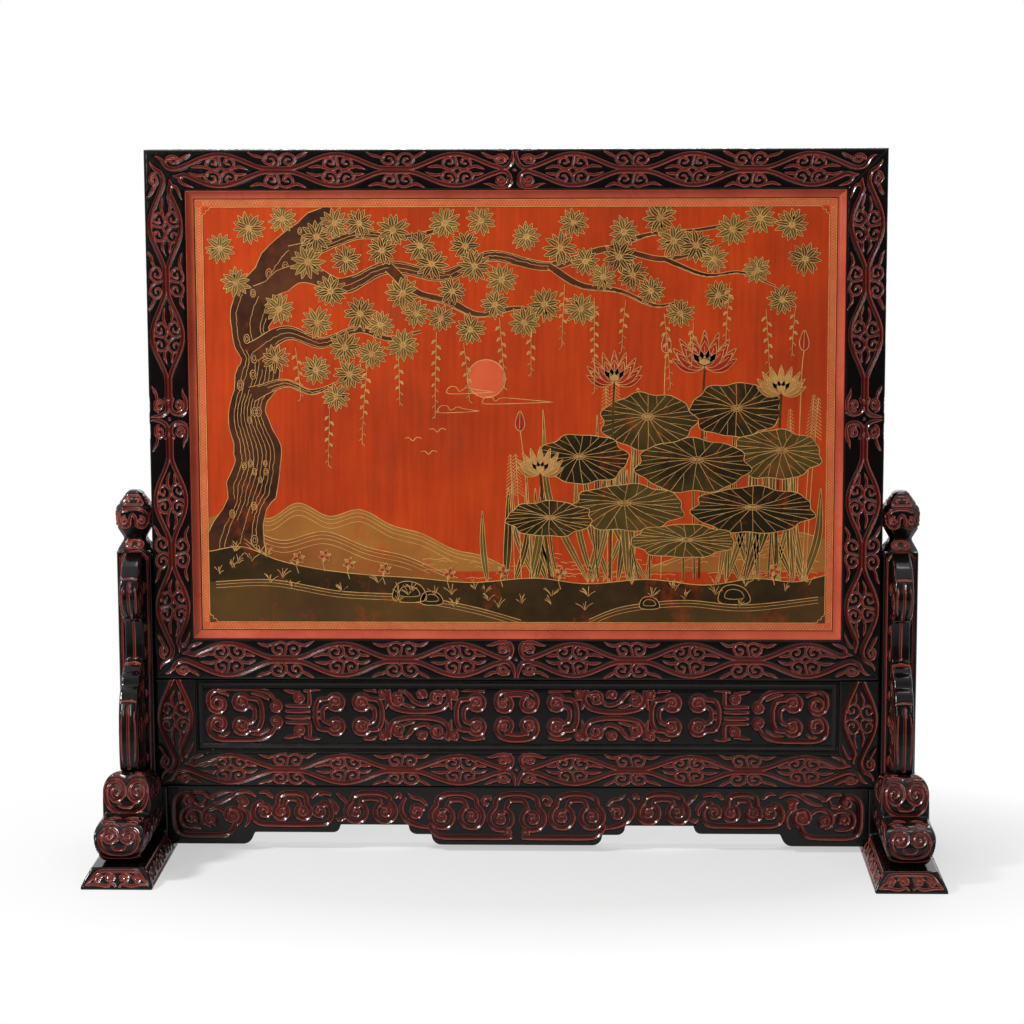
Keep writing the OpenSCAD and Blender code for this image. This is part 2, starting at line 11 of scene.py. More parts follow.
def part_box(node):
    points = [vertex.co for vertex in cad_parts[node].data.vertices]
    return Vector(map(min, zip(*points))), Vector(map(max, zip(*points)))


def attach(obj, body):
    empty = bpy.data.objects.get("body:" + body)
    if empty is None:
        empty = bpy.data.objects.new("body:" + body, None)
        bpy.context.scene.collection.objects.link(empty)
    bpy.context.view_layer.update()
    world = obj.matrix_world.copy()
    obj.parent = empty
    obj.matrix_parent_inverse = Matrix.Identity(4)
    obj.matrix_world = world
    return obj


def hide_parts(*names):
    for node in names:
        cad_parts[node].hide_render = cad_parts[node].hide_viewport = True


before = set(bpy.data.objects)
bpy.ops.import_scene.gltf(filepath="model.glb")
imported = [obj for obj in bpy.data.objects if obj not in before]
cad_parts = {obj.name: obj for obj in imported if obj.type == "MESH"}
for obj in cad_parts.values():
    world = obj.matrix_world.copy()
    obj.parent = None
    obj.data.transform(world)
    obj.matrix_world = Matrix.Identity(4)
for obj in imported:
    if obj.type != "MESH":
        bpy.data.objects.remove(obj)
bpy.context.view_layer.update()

MM = 0.001
rng = np.random.default_rng(20)


def box(node):
    """Lowest and highest corner of a CAD node, in millimetres."""
    lo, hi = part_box(node)
    return np.array(lo) / MM, np.array(hi) / MM


# Sizes read from the frame
top_hi = box("frame_top_rail")[1]
sight_lo, sight_hi = box("sight_moulding_front")
waist_lo, waist_hi = box("waist_moulding_front")
panel_lo, panel_hi = box("waist_panel")
rail_lo, rail_hi = box("stand_lower_rail")
apron_lo, apron_hi = box("apron_front")
post_lo, post_hi = box("post_left")
base_lo, base_hi = box("base_left")
drum_hi = box("drum_left_front")[1]
HALF_W = top_hi[0]
FRAME_LOW, FRAME_HIGH = box("frame_bottom_rail")[0][2], top_hi[2]
FRAME_MID = (FRAME_LOW + FRAME_HIGH) / 2
FRAME_Y = top_hi[1]
SIGHT_LOW, SIGHT_HIGH = sight_lo[2], sight_hi[2]
RAIL_FACE = FRAME_HIGH - SIGHT_HIGH
RAIL_HALF = RAIL_FACE / 2
LOW_FACE = SIGHT_LOW - FRAME_LOW
BOARD_Y = box("picture_panel")[0][1]
STAND_X = rail_hi[0]
STAND_LOW = rail_lo[2]
LOWER_FACE = waist_lo[2] - STAND_LOW
WAIST_X = waist_hi[0]
STAND_STILE = STAND_X - WAIST_X
POST_X = (base_lo[0] + base_hi[0]) / 2
POST_Y = drum_hi[1]
POST_SHAFT_IN = 2 * POST_X - post_lo[0]
DRUM_TOP = drum_hi[2]

# Sizes that no box of a node gives
BASE_TOP = 18.0
LOW_DRUM_TOP, LOW_DRUM_BACK = 53.6, -91
FINIAL_SHIFT = 0.6
SLOT_Y, SLOT_TOP = 4.6, 108.7
SLOT_EDGE, SLOT_SPARE = 0.05, 0.7
MITRE_GAP, SEAT_GAP = 0.06, 0.1

# Carving
CELL = 0.42
GROOVE = 1.7
GROOVE_SHARE = 0.95
DEEPEST = 1.9
SHOULDER = 1.1
SHOULDER_SHARE = 0.13
ARRIS = 2.5

# Chain of the rails: heights of the strand, its break in the middle, and the places of its lozenges
CREST, TROUGH = 13.7, 1.6
BREAK = 17.0
RAIL_CRESTS, RAIL_HALF_PITCH = [52.0, 157.0, 261.0], 53
STILE_CRESTS, STILE_HALF_PITCH = [74.0, 171.5], 50
CHAIN_WIDTH = 38
EDGE_SPREAD = 1.05


class Field:
    """Depth of the carving over one flat or developed face, on a fine grid, in millimetres."""

    def __init__(self, u, v):
        self.us = np.arange(u[0], u[1] + 2 * CELL, CELL)
        self.vs = np.arange(v[0], v[1] + 2 * CELL, CELL)
        self.depth = np.zeros((len(self.us), len(self.vs)), np.float32)

    def cut(self, lines, deepest=DEEPEST):
        """Cuts a round-bottomed groove along each line of (u, v, half width) points."""
        for line in lines:
            for a, b in zip(line[:-1], line[1:]):
                reach = max(a[2], b[2]) + SHOULDER
                i, j = cells_near(self.us, a[0], b[0], reach)
                k, m = cells_near(self.vs, a[1], b[1], reach)
                if i >= j or k >= m:
                    continue
                e = b[:2] - a[:2]
                du = self.us[i:j, None] - a[0]
                dv = self.vs[None, k:m] - a[1]
                t = np.clip((du * e[0] + dv * e[1]) / max(e @ e, 1e-9), 0, 1)
                gap = np.hypot(du - t * e[0], dv - t * e[1])
                half = a[2] + t * (b[2] - a[2])
                inside = 1 - np.clip(gap / half, 0, 1) ** 2
                outside = np.clip(1 - (gap - half) / SHOULDER, 0, 1) ** 2
                share = np.where(
                    gap < half, SHOULDER_SHARE + (1 - SHOULDER_SHARE) * inside, SHOULDER_SHARE * outside
                )
                part = self.depth[i:j, k:m]
                np.maximum(part, np.minimum(half * GROOVE_SHARE, deepest) * share, out=part)
        return self

    def at(self, u, v):
        """Depth at the points u, v, zero outside the grid."""
        p = (np.asarray(u) - self.us[0]) / CELL
        q = (np.asarray(v) - self.vs[0]) / CELL
        ok = (p >= 0) & (q >= 0) & (p < len(self.us) - 1) & (q < len(self.vs) - 1)
        p = np.clip(p, 0, len(self.us) - 1.001)
        q = np.clip(q, 0, len(self.vs) - 1.001)
        i, k = p.astype(int), q.astype(int)
        s, t = p - i, q - k
        d = self.depth
        near = d[i, k] * (1 - s) + d[i + 1, k] * s
        far = d[i, k + 1] * (1 - s) + d[i + 1, k + 1] * s
        return np.where(ok, near * (1 - t) + far * t, 0.0)


def cells_near(places, a, b, reach):
    """Range of the grid's places within reach of a line from a to b."""
    first = int((min(a, b) - reach - places[0]) / CELL)
    last = int((max(a, b) + reach - places[0]) / CELL) + 2
    return max(first, 0), min(last, len(places))


def spline(a, b, c, d, count):
    """Points of a smooth curve from b towards c, with a before and d after."""
    t = np.linspace(0, 1, max(3, count), endpoint=False)[:, None]
    return 0.5 * (
        2 * b + (c - a) * t + (2 * a - 5 * b + 4 * c - d) * t**2 + (3 * b - a - 3 * c + d) * t**3
    )


def run_along(curve):
    """Length of the curve up to each of its points."""
    return np.concatenate([[0], np.cumsum(np.hypot(*np.diff(curve, axis=0).T))])


def through(points, step=1.3):
    """Smooth curve through the points, evenly sampled, as an (n, 2) array."""
    p = np.array(points, float)
    p = np.vstack([2 * p[0] - p[1], p, 2 * p[-1] - p[-2]])
    rows = [
        spline(a, b, c, d, int(np.hypot(*(c - b)) / step * 1.5))
        for a, b, c, d in zip(p[:-3], p[1:-2], p[2:-1], p[3:])
    ]
    curve = np.vstack([*rows, p[-2:-1]])
    run = run_along(curve)
    even = np.linspace(0, run[-1], max(2, int(run[-1] / step) + 1))
    return np.stack([np.interp(even, run, curve[:, 0]), np.interp(even, run, curve[:, 1])], 1)


def with_width(curve, w, head=1.0, tail=1.0, blend=0.4):
    """Adds a half width that swells from head to w and thins to tail, both shares of w."""
    run = run_along(curve)
    s = run / max(run[-1], 1e-6)
    start = head + (1 - head) * np.sin(np.clip(s / blend, 0, 1) * math.pi / 2)
    end = tail + (1 - tail) * np.sin(np.clip((1 - s) / blend, 0, 1) * math.pi / 2)
    return np.column_stack([curve, w * np.minimum(start, end)])


def stroke(points, w=GROOVE, head=1.0, tail=1.0, blend=0.4):
    return with_width(through(points), w, head, tail, blend)


def leaf(points, w=GROOVE):
    """A stroke that ends in a thin tip."""
    return stroke(points, w, 0.8, 0.12, 0.6)


def volute(u, v, r, start=180.0, turns=1.35, spin=1, w=1.5, eye=0.3, flat=1.0):
    """Spiral groove from radius r at angle start, in degrees, winding in to a round eye.
    flat squashes it along v."""
    n = max(12, int(turns * 2 * math.pi * r * 0.7 / 1.0))
    t = np.linspace(0, 1, n)
    angle = np.radians(start) + spin * t * turns * 2 * math.pi
    radius = r * (1 - (1 - eye) * t)
    curve = np.stack([u + radius * np.cos(angle), v + flat * radius * np.sin(angle)], 1)
    return np.column_stack([curve, w * (1 - 0.25 * t)])


def flipped(lines, u=False, v=False):
    """The lines mirrored across u = 0 and/or v = 0."""
    sign = np.array([-1 if u else 1, -1 if v else 1, 1.0])
    return [line * sign for line in lines]


def moved(lines, du=0.0, dv=0.0, scale=1.0, turn=0.0):
    """The lines turned by degrees, scaled and moved."""
    c, s = math.cos(math.radians(turn)), math.sin(math.radians(turn))
    out = []
    for line in lines:
        u = line[:, 0] * c - line[:, 1] * s
        v = line[:, 0] * s + line[:, 1] * c
        out.append(np.column_stack([u * scale + du, v * scale + dv, line[:, 2] * min(1.0, scale**0.5)]))
    return out


def both_sides(lines):
    return lines + flipped(lines, u=True)


# Motifs

def strand_height(x):
    """Share of the wave's height at distance x from a crest, as a share of half a pitch."""
    return (0.5 + 0.5 * np.cos(math.pi * np.clip(x / 0.78, 0, 1))) ** 0.8


def sprig_under(tails=((27, 12), (-27, 13.8))):
    """Two curls that hang from a stem and rest on a bow with leaf tips. v runs away from the strand."""
    (ru, rv), (lu, lv) = tails
    return [
        stroke([(1, 0.5), (-0.7, 6), (-1.5, 11.2)], 1.05, 1.0, 0.8),
        stroke([
            (-1.5, 11.2), (2.3, 13.2), (6.6, 13), (10.4, 10.8), (11.2, 7), (8.6, 3.7), (4.7, 3.3),
            (2.5, 5.8), (3.8, 8.4), (6.4, 8.2)
        ], 1.0, 1.25, 0.8, 0.3),
        leaf([(9.6, 12.2), (13.5, 10.9), (18, 10.5), (ru, rv)], 1.2),
        stroke([
            (-1.5, 11.2), (-4.5, 13), (-8.8, 13.1), (-12.4, 11), (-13.4, 7.2), (-11, 4), (-7.4, 3.4),
            (-5.2, 5.8), (-6.4, 8.2), (-8.8, 8.2)
        ], 1.0, 1.25, 0.8, 0.3),
        leaf([(-11.8, 12.2), (-15, 11.1), (-18.5, 10.8), (lu, lv)], 1.2)
    ]


def sprig_over(tails=((28.4, 12.5), (-26, 10.8)), rise=0.0):
    """Two open curls that rise from a stem, with leaf tips from their sides. v runs away from the strand."""
    (ru, rv), (lu, lv) = tails
    return [
        stroke([(1.3, 1.5), (-0.7, 4), (-1.2, 8.6)], 1.05, 1.0, 0.8),
        stroke([
            (-1.0, 8.0), (1.8, 11.2), (5.6, 12.6), (10, 11.6), (12.2, 8.2), (10.6, 4.6), (6.5, 3.3),
            (3.2, 5.2), (3.9, 8.4), (6.6, 8.4)
        ], 1.0, 1.2, 0.8, 0.3),
        leaf([(12, 9.0), (14.6, 9.6), (17.4, 9 + rise), (21.6, 9.8 + rise), (ru, rv)], 1.2),
        stroke([
            (-1.2, 8.4), (-4.4, 11.8), (-9, 13), (-13.6, 11), (-15, 7.6), (-12.8, 4.2), (-8.8, 3.3),
            (-6.3, 5.8), (-7.6, 8.4), (-10, 8.2)
        ], 1.0, 1.2, 0.8, 0.3),
        leaf([(-14.8, 8.6), (-17.2, 9.8), (-20.2, 9.9 + rise), (lu, lv)], 1.2)
    ]


def corner_end():
    """Where the strands end at a mitre, before the first crest at 0. The mitre is towards -u."""
    return [
        stroke([
            (-31.4, 3.6), (-37, 1.5), (-42.3, 1.5), (-46.7, 3.6), (-49.6, 8), (-53.3, 11.4), (-57.7, 12.8)
        ], GROOVE, 1.0, 0.15, 0.5),
        volute(-40.5, 9.0, 5.6, start=180, turns=1.4, spin=-1, w=1.15, flat=0.74),
        leaf([(-34.8, 9.2), (-33.2, 10.4), (-30.7, 11.3), (-24.8, 15.3)], 1.2),
        stroke([
            (-26, -5.7), (-28.5, -4.5), (-32.4, -4.2), (-36.5, -5.4), (-41.5, -4.4)
        ], GROOVE, 1.0, 0.15, 0.5),
        leaf([(-32.6, -4.4), (-35, -7), (-33.8, -10.4), (-28.5, -13.2), (-21, -15.3)], 1.25)
    ]


def break_end():
    """Where the strands stop on each side of the middle of a rail, for u above 0."""
    return [
        stroke([
            (17, 3.4), (14, 2.1), (10.9, 1.5), (7.8, 1.8), (5.2, 3.4), (3.1, 6.4), (2.0, 10.6),
            (1.3, 15.6)
        ], GROOVE, 1.0, 0.4, 0.5),
        volute(12.2, 8.8, 5.9, start=165, turns=1.45, spin=-1, w=1.2, flat=0.72),
        leaf([(17.6, 10.6), (22.6, 11.5), (30.3, 15.9)], 1.3),
        stroke([
            (17, -3.2), (14.5, -1.9), (11.7, -1.4), (8.4, -1.8), (5.6, -3.6), (3.9, -7.2), (3.9, -11.4),
            (6.2, -15)
        ], GROOVE, 1.0, 0.8, 0.5),
        volute(12.0, -9.0, 4.9, start=170, turns=1.4, spin=1, w=1.2, flat=0.85),
        leaf([(6.2, -15), (11.7, -15.8), (17.5, -14.8), (22.6, -12.8), (28.6, -12.2)], 1.5)
    ]


def strand(us, crest, half_pitch, sign, foot=TROUGH):
    """One strand over the places us about the crest at u = crest, above the middle line where sign is 1."""
    height = foot + (CREST - foot) * strand_height(np.abs(us - crest) / half_pitch)
    return np.column_stack([us, sign * height, np.full(len(us), GROOVE)])


def chain(crests, half_pitch, end=None):
    """Half of a rail's chain, for u above 0. crests are its lozenges from the middle outwards.
    It ends at a mitre and starts at a break in the middle, or at u = end where end is given."""
    lines = []
    middles = [(a + b) / 2 for a, b in zip(crests, crests[1:])]
    for inner, c, outer in zip([BREAK if end is None else end, *middles], crests, [*middles, None]):
        last = outer is None
        stop = c if last else outer
        us = np.linspace(inner, stop, max(4, int(abs(stop - inner) / 1.3)))
        for sign in (1, -1):
            lines.append(strand(us, c, half_pitch, sign))
            if last:
                run, foot, pace = (31.4, 1.0, 53) if sign > 0 else (26, 3.0, 46.5)
                lines.append(strand(np.linspace(c, c + run, 26), c, pace, sign, foot))
        lines += moved(flipped(sprig_under(), v=True), c, CREST)
        lines += moved(sprig_over(), c, -CREST)
        if not last:
            lines += moved(sprig_over(((28, 15.2), (-28, 15.4)), 1.6), outer, TROUGH)
            lines += flipped(moved(sprig_under(((27, 13.4), (-27, 15))), outer, TROUGH), v=True)
    lines += moved(flipped(corner_end(), u=True), crests[-1])
    if end is None:
        lines += break_end()
    return lines


def ruyi(a, r, crown, arch, w=1.6):
    """Head of two curls, a each side of the middle and r in radius, under a crown and an inner arch.
    One line runs from the crown down round each curl, and up its inner side into the arch."""
    angle = np.radians(range(48, -235, -24))
    shrink = r * np.linspace(1.04, 0.92, len(angle))
    curl = np.stack([a + shrink * np.cos(angle), shrink * np.sin(angle)], 1)
    start, kink = (a + r * 0.5, r * 0.98), (a - r * 0.42, r * 0.86)
    crown_line = [(0, crown), (a * 0.5, crown * 0.985), (a * 0.95, crown * 0.9), (a + r * 0.38, crown * 0.76)]
    half = [
        stroke([*crown_line, start], w, 1.0, 0.9),
        stroke([start, *curl, kink], w, 0.9, 0.9),
        stroke([kink, (a - r * 0.5, r * 1.15), (a * 0.42, arch * 0.95), (0, arch)], w * 0.9, 0.7, 1.0),
        volute(a, 0, r * 0.58, start=110, turns=1.15, spin=-1, w=w * 0.85, eye=0.2),
    ]
    return both_sides(half)


def waist_lines():
    """The waist panel's right half, from its middle to its end, both above and below the middle line."""
    w = 1.9
    # Rosette of four volutes in the middle
    upper = [
        stroke([
            (0, 23.4), (7, 23), (13, 21.2), (17.2, 17.6), (18.6, 12), (16.8, 6), (11.4, 3.4), (6.2, 5.4),
            (4.4, 10.2), (6.6, 15), (9.4, 17.2)
        ], w),
        stroke([(9.4, 17.2), (4, 18.2), (0, 18.4)], w * 0.85, 0.7),
        volute(11.6, 10.2, 3.8, start=110, turns=1.15, spin=-1, w=w * 0.72, eye=0.25)
    ]
    # Heads beside it, their crowns outwards or inwards
    for axis, side in ((36.2, 1), (152.6 - 11.9, -1), (152.6 + 11.9, 1), (250.0, -1)):
        head = moved(ruyi(11.0, 7.0, 18.6, 12.0, w), axis, 0, turn=-90 * side)
        upper += [line for line in head if line[:, 1].mean() > -2]
    # Long unit with two bent arcs
    long_unit = [
        stroke([
            (-26.6, 21), (-27.4, 13.5), (-22.6, 6.6), (-12.5, 3.5), (0, 2.7), (12.5, 3.5), (22.6, 6.6),
            (26.8, 12.5), (27.2, 21)
        ], w),
        volute(-17.0, 15.4, 6.4, start=150, turns=1.5, spin=-1, w=w * 0.85),
        stroke([(-22.4, 18.4), (-26.4, 22.6)], w * 0.8),
        stroke([
            (-12.2, 13.6), (-7, 9.4), (-1, 9.8), (5, 13), (8.4, 17.6), (12.5, 21.4), (18, 22.8)
        ], w * 0.9, 0.8, 0.4),
        volute(-2.4, 18.5, 4.2, start=200, turns=1.3, spin=-1, w=w * 0.8),
        volute(18.2, 13.8, 5.8, start=110, turns=1.5, spin=-1, w=w * 0.85),
        leaf([(13.4, 9.6), (8, 7.6), (2, 6.6)], w * 0.75)
    ]
    upper += moved(long_unit, 89)
    upper += [
        volute(56.4, 19.4, 4.4, start=250, turns=1.4, spin=1, w=w * 0.8),
        leaf([(60.4, 17.6), (60.2, 9.4), (58.6, 3.2)], w * 0.8),
        leaf([(30, 21.4), (38, 22.6), (47, 22.2), (52, 20.4)], w * 0.75),
        volute(121.6, 19.4, 4.4, start=290, turns=1.4, spin=-1, w=w * 0.8),
        leaf([(117.6, 17.6), (118, 9.4), (119.6, 3.2)], w * 0.8),
        leaf([(138, 22.8), (131, 22.4), (126, 19.6)], w * 0.75)
    ]
    # Strapwork block
    upper += [
        stroke([(188.6, 2.9), (197, 2.9), (209, 2.9)], w * 0.85, 0.7, 0.7),
        stroke([(188.4, 22.6), (188.0, 14), (188.6, 8.4), (193, 7.6), (209, 7.8)], w * 0.85, 0.8, 0.7),
        volute(197.0, 15.2, 4.8, start=80, turns=1.5, spin=-1, w=w * 0.8),
        leaf([(192.4, 21.6), (186, 22.8), (177, 22.6)], w * 0.75),
        leaf([(184.4, 3.2), (180, 3.0), (175.6, 3.2)], w * 0.7),
        leaf([(197.6, 19.8), (204, 20.6), (213, 22.8)], w * 0.8)
    ]
    # Great scroll at the end
    upper += [
        stroke([
            (219, 11.2), (224, 18.6), (235, 23.0), (254, 23.6), (271, 23.2), (279.0, 18.2), (280.4, 10.2)
        ], w, 0.7),
        volute(271.6, 9.4, 8.4, start=5, turns=1.6, spin=-1, w=w * 0.9),
        leaf([(262.4, 17.6), (266, 19.6), (272.4, 20)], w * 0.7),
        volute(219.0, 7.0, 5.0, start=110, turns=1.5, spin=1, w=w * 0.85),
        leaf([(226, 14.2), (234, 18.2), (243, 19.2)], w * 0.75)
    ]
    return upper


def apron_lines():
    """The apron's right half. v is the height above the ground."""
    w = 2.15
    lines = []
    # Heads in the middle lobe, with a curl beyond
    for c, a, r, z in ((0.0, 14.3, 10.6, 31.0), (54.7, 13.3, 10.4, 32.8)):
        lines += moved(ruyi(a, r, 54.4 - z, 48.6 - z, w), c, z)
    lines += [
        volute(91.0, 36.6, 6.6, start=150, turns=1.4, spin=-1, w=w * 0.85),
        stroke([
            (81, 22.5), (90, 24.4), (99.5, 28.6), (104.4, 35), (105, 42.5), (101, 49.5)
        ], w, 0.6, 0.5),
        leaf([(82.5, 44), (87, 48.6), (94, 50.4), (100, 55)], w * 0.8),
        stroke([(31.5, 47.6), (28, 51), (24.4, 51.2), (23.4, 48)], w * 0.7, 0.9, 0.5),
        stroke([(31.5, 47.6), (28.6, 44), (25.4, 45)], w * 0.65, 0.9, 0.4)
    ]
    # Line along the lobe's lower edge, with a curl in the middle
    lines += [
        stroke([
            (79, 23.6), (76.4, 19.2), (72, 15.4), (65, 13.8), (40, 13.6), (14, 13.7), (6.4, 14.0)
        ], w),
        volute(7.6, 17.8, 3.4, start=-110, turns=1.15, spin=1, w=w * 0.7)
    ]
    # Head over the arch
    lines += moved(ruyi(13.0, 9.5, 17.8, 12.6, w), 133, 37)
    lines += [
        stroke([(110.4, 50.5), (107, 53.6), (105.6, 49)], w * 0.75, 0.8, 0.3),
        leaf([(155, 45), (159, 50), (165, 54.6)], w * 0.8),
        leaf([(157, 31.5), (161, 29.4), (165.6, 31)], w * 0.8),
        stroke([(171, 48.4), (166.4, 45), (163.4, 39.6), (165, 35)], w * 0.75, 0.5, 0.5),
        leaf([(170, 53), (176, 54.4), (181, 51)], w * 0.8)
    ]
    # Flattened bed with four curls under a lobe
    bed = moved(ruyi(10.0, 6.6, 17.6, 11.9, w), 0, 36.8)
    bed += both_sides([
        volute(25.4, 37.2, 6.4, start=60, turns=1.35, spin=1, w=w * 0.85),
        stroke([(28.5, 45.6), (33.4, 43), (36, 37), (34.6, 30), (28.6, 25.8), (14, 25), (0, 24.8)], w),
        leaf([(18.5, 50.6), (24, 55), (31, 53.4)], w * 0.8)
    ])
    lines += moved(bed, 204.6)
    # Rounded frame at the end, with curls and a wave
    lines += [
        stroke([
            (297, 53.6), (305, 52), (310.4, 46), (311.2, 32), (309.4, 19.8), (302, 15.0), (284, 14.6),
            (267, 15.2), (260, 19), (257, 25.0)
        ], w, 0.9, 0.9),
        volute(259.6, 33.0, 8.8, start=-105, turns=1.55, spin=-1, w=w * 0.9),
        volute(259.6, 33.0, 3.0, start=0, turns=0.9, spin=-1, w=w * 0.7),
        stroke([
            (267.6, 37), (272, 40.2), (278, 40), (283.4, 37.4), (286, 32), (284.4, 26.2), (280, 23.4)
        ], w * 0.85, 0.8, 0.8),
        volute(279.4, 29.6, 4.9, start=230, turns=1.3, spin=-1, w=w * 0.8),
        stroke([
            (286, 35), (290, 38.4), (297, 39.4), (303, 36.6), (305.4, 30.4), (303, 24.6), (297, 22),
            (288.4, 21.4)
        ], w * 0.85, 0.8, 0.4),
        volute(297.0, 30.6, 4.8, start=200, turns=1.3, spin=-1, w=w * 0.8),
        volute(299.0, 46.8, 4.8, start=100, turns=1.35, spin=1, w=w * 0.8),
        stroke([(293.6, 46), (289.6, 42.8), (285, 44), (283.6, 48)], w * 0.7, 0.8, 0.6),
        stroke([
            (293, 54.6), (285, 54), (278.6, 49.4), (273.6, 52.6), (267, 54.8), (258.7, 55)
        ], w * 0.75, 0.7, 0.4),
        volute(249.6, 45.4, 4.6, start=30, turns=1.35, spin=1, w=w * 0.8),
        stroke([
            (276, 44.2), (269, 45.8), (261.6, 49.6), (254, 54.6), (245, 55.2), (238.4, 51.4)
        ], w * 0.8, 0.5, 0.5),
        stroke([(252.6, 41.4), (247.6, 38.6), (244.4, 33), (244.8, 27), (248, 22.4)], w * 0.75, 0.7, 0.4)
    ]
    return lines


# Mesh making

def grid_quads(n, m):
    """Quads between n closed rings of m points."""
    i = np.arange(n - 1)[:, None] * m
    j = np.arange(m)[None, :]
    k = (j + 1) % m
    return np.stack([i + j, i + k, i + m + k, i + m + j], -1).reshape(-1, 4)


def facing_out(verts, polys):
    """The faces turned the other way round if the closed mesh is inside out."""
    volume = 0.0
    for p in polys:
        a = verts[p[:, 0]]
        for k in range(1, p.shape[1] - 1):
            volume += np.einsum("ij,ij->", a, np.cross(verts[p[:, k]], verts[p[:, k + 1]]))
    return [p[:, ::-1] for p in polys] if volume < 0 else polys


def mesh_object(name, verts, polys, carve, flat=(), closed=True):
    """Object from points in millimetres and arrays of faces. carve is kept as an attribute of the points,
    and flat gives the arrays that are shaded flat."""
    verts = np.asarray(verts, float)
    polys = [np.asarray(p) for p in polys if len(p)]
    polys = facing_out(verts, polys) if closed else polys
    mesh = bpy.data.meshes.new(name)
    mesh.vertices.add(len(verts))
    mesh.vertices.foreach_set("co", (verts * MM).astype(np.float32).ravel())
    corners = np.concatenate([p.ravel() for p in polys]).astype(np.int32)
    totals = np.concatenate([np.full(len(p), p.shape[1]) for p in polys]).astype(np.int32)
    mesh.loops.add(len(corners))
    mesh.loops.foreach_set("vertex_index", corners)
    mesh.polygons.add(len(totals))
    mesh.polygons.foreach_set(
        "loop_start", np.concatenate([[0], np.cumsum(totals)[:-1]]).astype(np.int32)
    )
    smooth = np.concatenate([np.full(len(p), i not in flat) for i, p in enumerate(polys)])
    mesh.polygons.foreach_set("use_smooth", smooth)
    mesh.attributes.new("carve", "FLOAT", "POINT").data.foreach_set("value", carve.astype(np.float32))
    mesh.update(calc_edges=True)
    mesh.validate()
    made = bpy.data.objects.new(name, mesh)
    bpy.context.scene.collection.objects.link(made)
    return made


def dress(piece, finish, body, slot, *nodes):
    """Gives a piece its material and the body it rides on, and hides the CAD nodes it stands for. slot is not
    used.
    """
    piece.data.materials.clear()
    piece.data.materials.append(finish)
    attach(piece, body)
    if nodes:
        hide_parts(*nodes)


def carved_piece(node_name, body, verts, polys, depth, flat=()):
    """The carved look of a CAD node, from the depth of the carving at each point."""
    made = mesh_object(f"{node_name}_carved", verts, polys, depth / DEEPEST, flat)
    dress(made, LACQUER, body, "carved_lacquer", node_name)


def bar(node_name, body, points, depth):
    """Carved bar through n sections of m points, an (n, m, 3) array, closed by flat ends."""
    n, m = depth.shape
    verts = points.reshape(-1, 3)
    ends = [verts[:m].mean(0), verts[-m:].mean(0)]
    row = np.arange(m)
    after = (row + 1) % m
    last = (n - 1) * m
    caps = [
        np.column_stack([np.full(m, n * m), after, row]),
        np.column_stack([np.full(m, n * m + 1), last + row, last + after])
    ]
    polys = [grid_quads(n, m), *caps]
    carved_piece(node_name, body, np.vstack([verts, ends]), polys, np.append(depth, [0, 0]), flat=(1, 2))


def ring(half_y, half_w, step_front, step_side, inner_step=2.2):
    """Section of a rail with round arrises, as rows of y, w, normal y, normal w and face.
    w is outwards across the rail. Faces: 0 front, 1 outer, 2 back, 3 inner."""
    r = ARRIS
    sides = [
        ((-half_y, -half_w + r), (-half_y, half_w - r), (-1, 0), step_front, 0),
        ((-half_y + r, half_w), (half_y - r, half_w), (0, 1), step_side, 1),
        ((half_y, half_w - r), (half_y, -half_w + r), (1, 0), step_side, 2),
        ((half_y - r, -half_w), (-half_y + r, -half_w), (0, -1), inner_step, 3)
    ]
    rows = []
    for i, (a, b, n, step, face) in enumerate(sides):
        a, b, n = np.array(a, float), np.array(b, float), np.array(n, float)
        for t in np.linspace(0, 1, max(2, int(np.hypot(*(b - a)) / step) + 1)):
            rows.append([*(a + t * (b - a)), *n, face])
        after = np.array(sides[(i + 1) % 4][2], float)
        centre = b - n * r
        for k in range(1, 4):
            m = n * math.cos(math.pi / 8 * k) + after * math.sin(math.pi / 8 * k)
            rows.append([*(centre + m * r), *m, face if k < 2 else (face + 1) % 4])
    return np.array(rows)


def member(node_name, body, section, left, right, fields, place, step=0.85, notch=None):
    """Carved bar. left and right give the bar's ends at each row of the section, and fields the carving of
    each face. place turns u, y, w into x, y, z, and notch gives the depth of a plain slot."""
    y, w, ny, nw, face = section.T
    lo, hi = left(y, w), right(y, w)
    n = int((hi - lo).max() / step) + 1
    u = lo + np.linspace(0, 1, n)[:, None] * (hi - lo)
    depth = np.zeros_like(u)
    for k, (field, across) in fields.items():
        rows = face == k
        depth[:, rows] = field.at(u[:, rows], np.broadcast_to(across(y[rows], w[rows]), (n, rows.sum())))
    sunk = depth if notch is None else np.maximum(depth, notch(u, y, w, face))
    bar(node_name, body, place(u, y - ny * sunk, w - nw * sunk), depth)


# Materials

BLACK = (0.0030, 0.0018, 0.0016)
BROWN_BLACK = (0.045, 0.012, 0.010)
# The rim colour is lighter and pinker than the red: partly the red layer's edge, partly a painted highlight
# for the gloss along a groove's rim.
RIM_PAINTED_HIGHLIGHT = (0.195, 0.049, 0.036)
RED = (0.115, 0.013, 0.008)
# The two darker reds are painted shade, deepening towards the groove's floor.
RED_PAINTED_SHADE = (0.075, 0.007, 0.004)
FLOOR_PAINTED_SHADE = (0.034, 0.004, 0.003)
WORN_DARK = (0.26, 0.030, 0.012)
WORN_LIGHT = (0.42, 0.075, 0.034)
GROUND_DARK = (0.235, 0.026, 0.006)
GROUND_MIDDLE = (0.345, 0.034, 0.006)
GROUND_LIGHT = (0.440, 0.048, 0.006)
GROUND_STAIN = (0.16, 0.036, 0.016)
LACQUER_GLOSS = 0.28
PAINT_GLOSS = 0.06


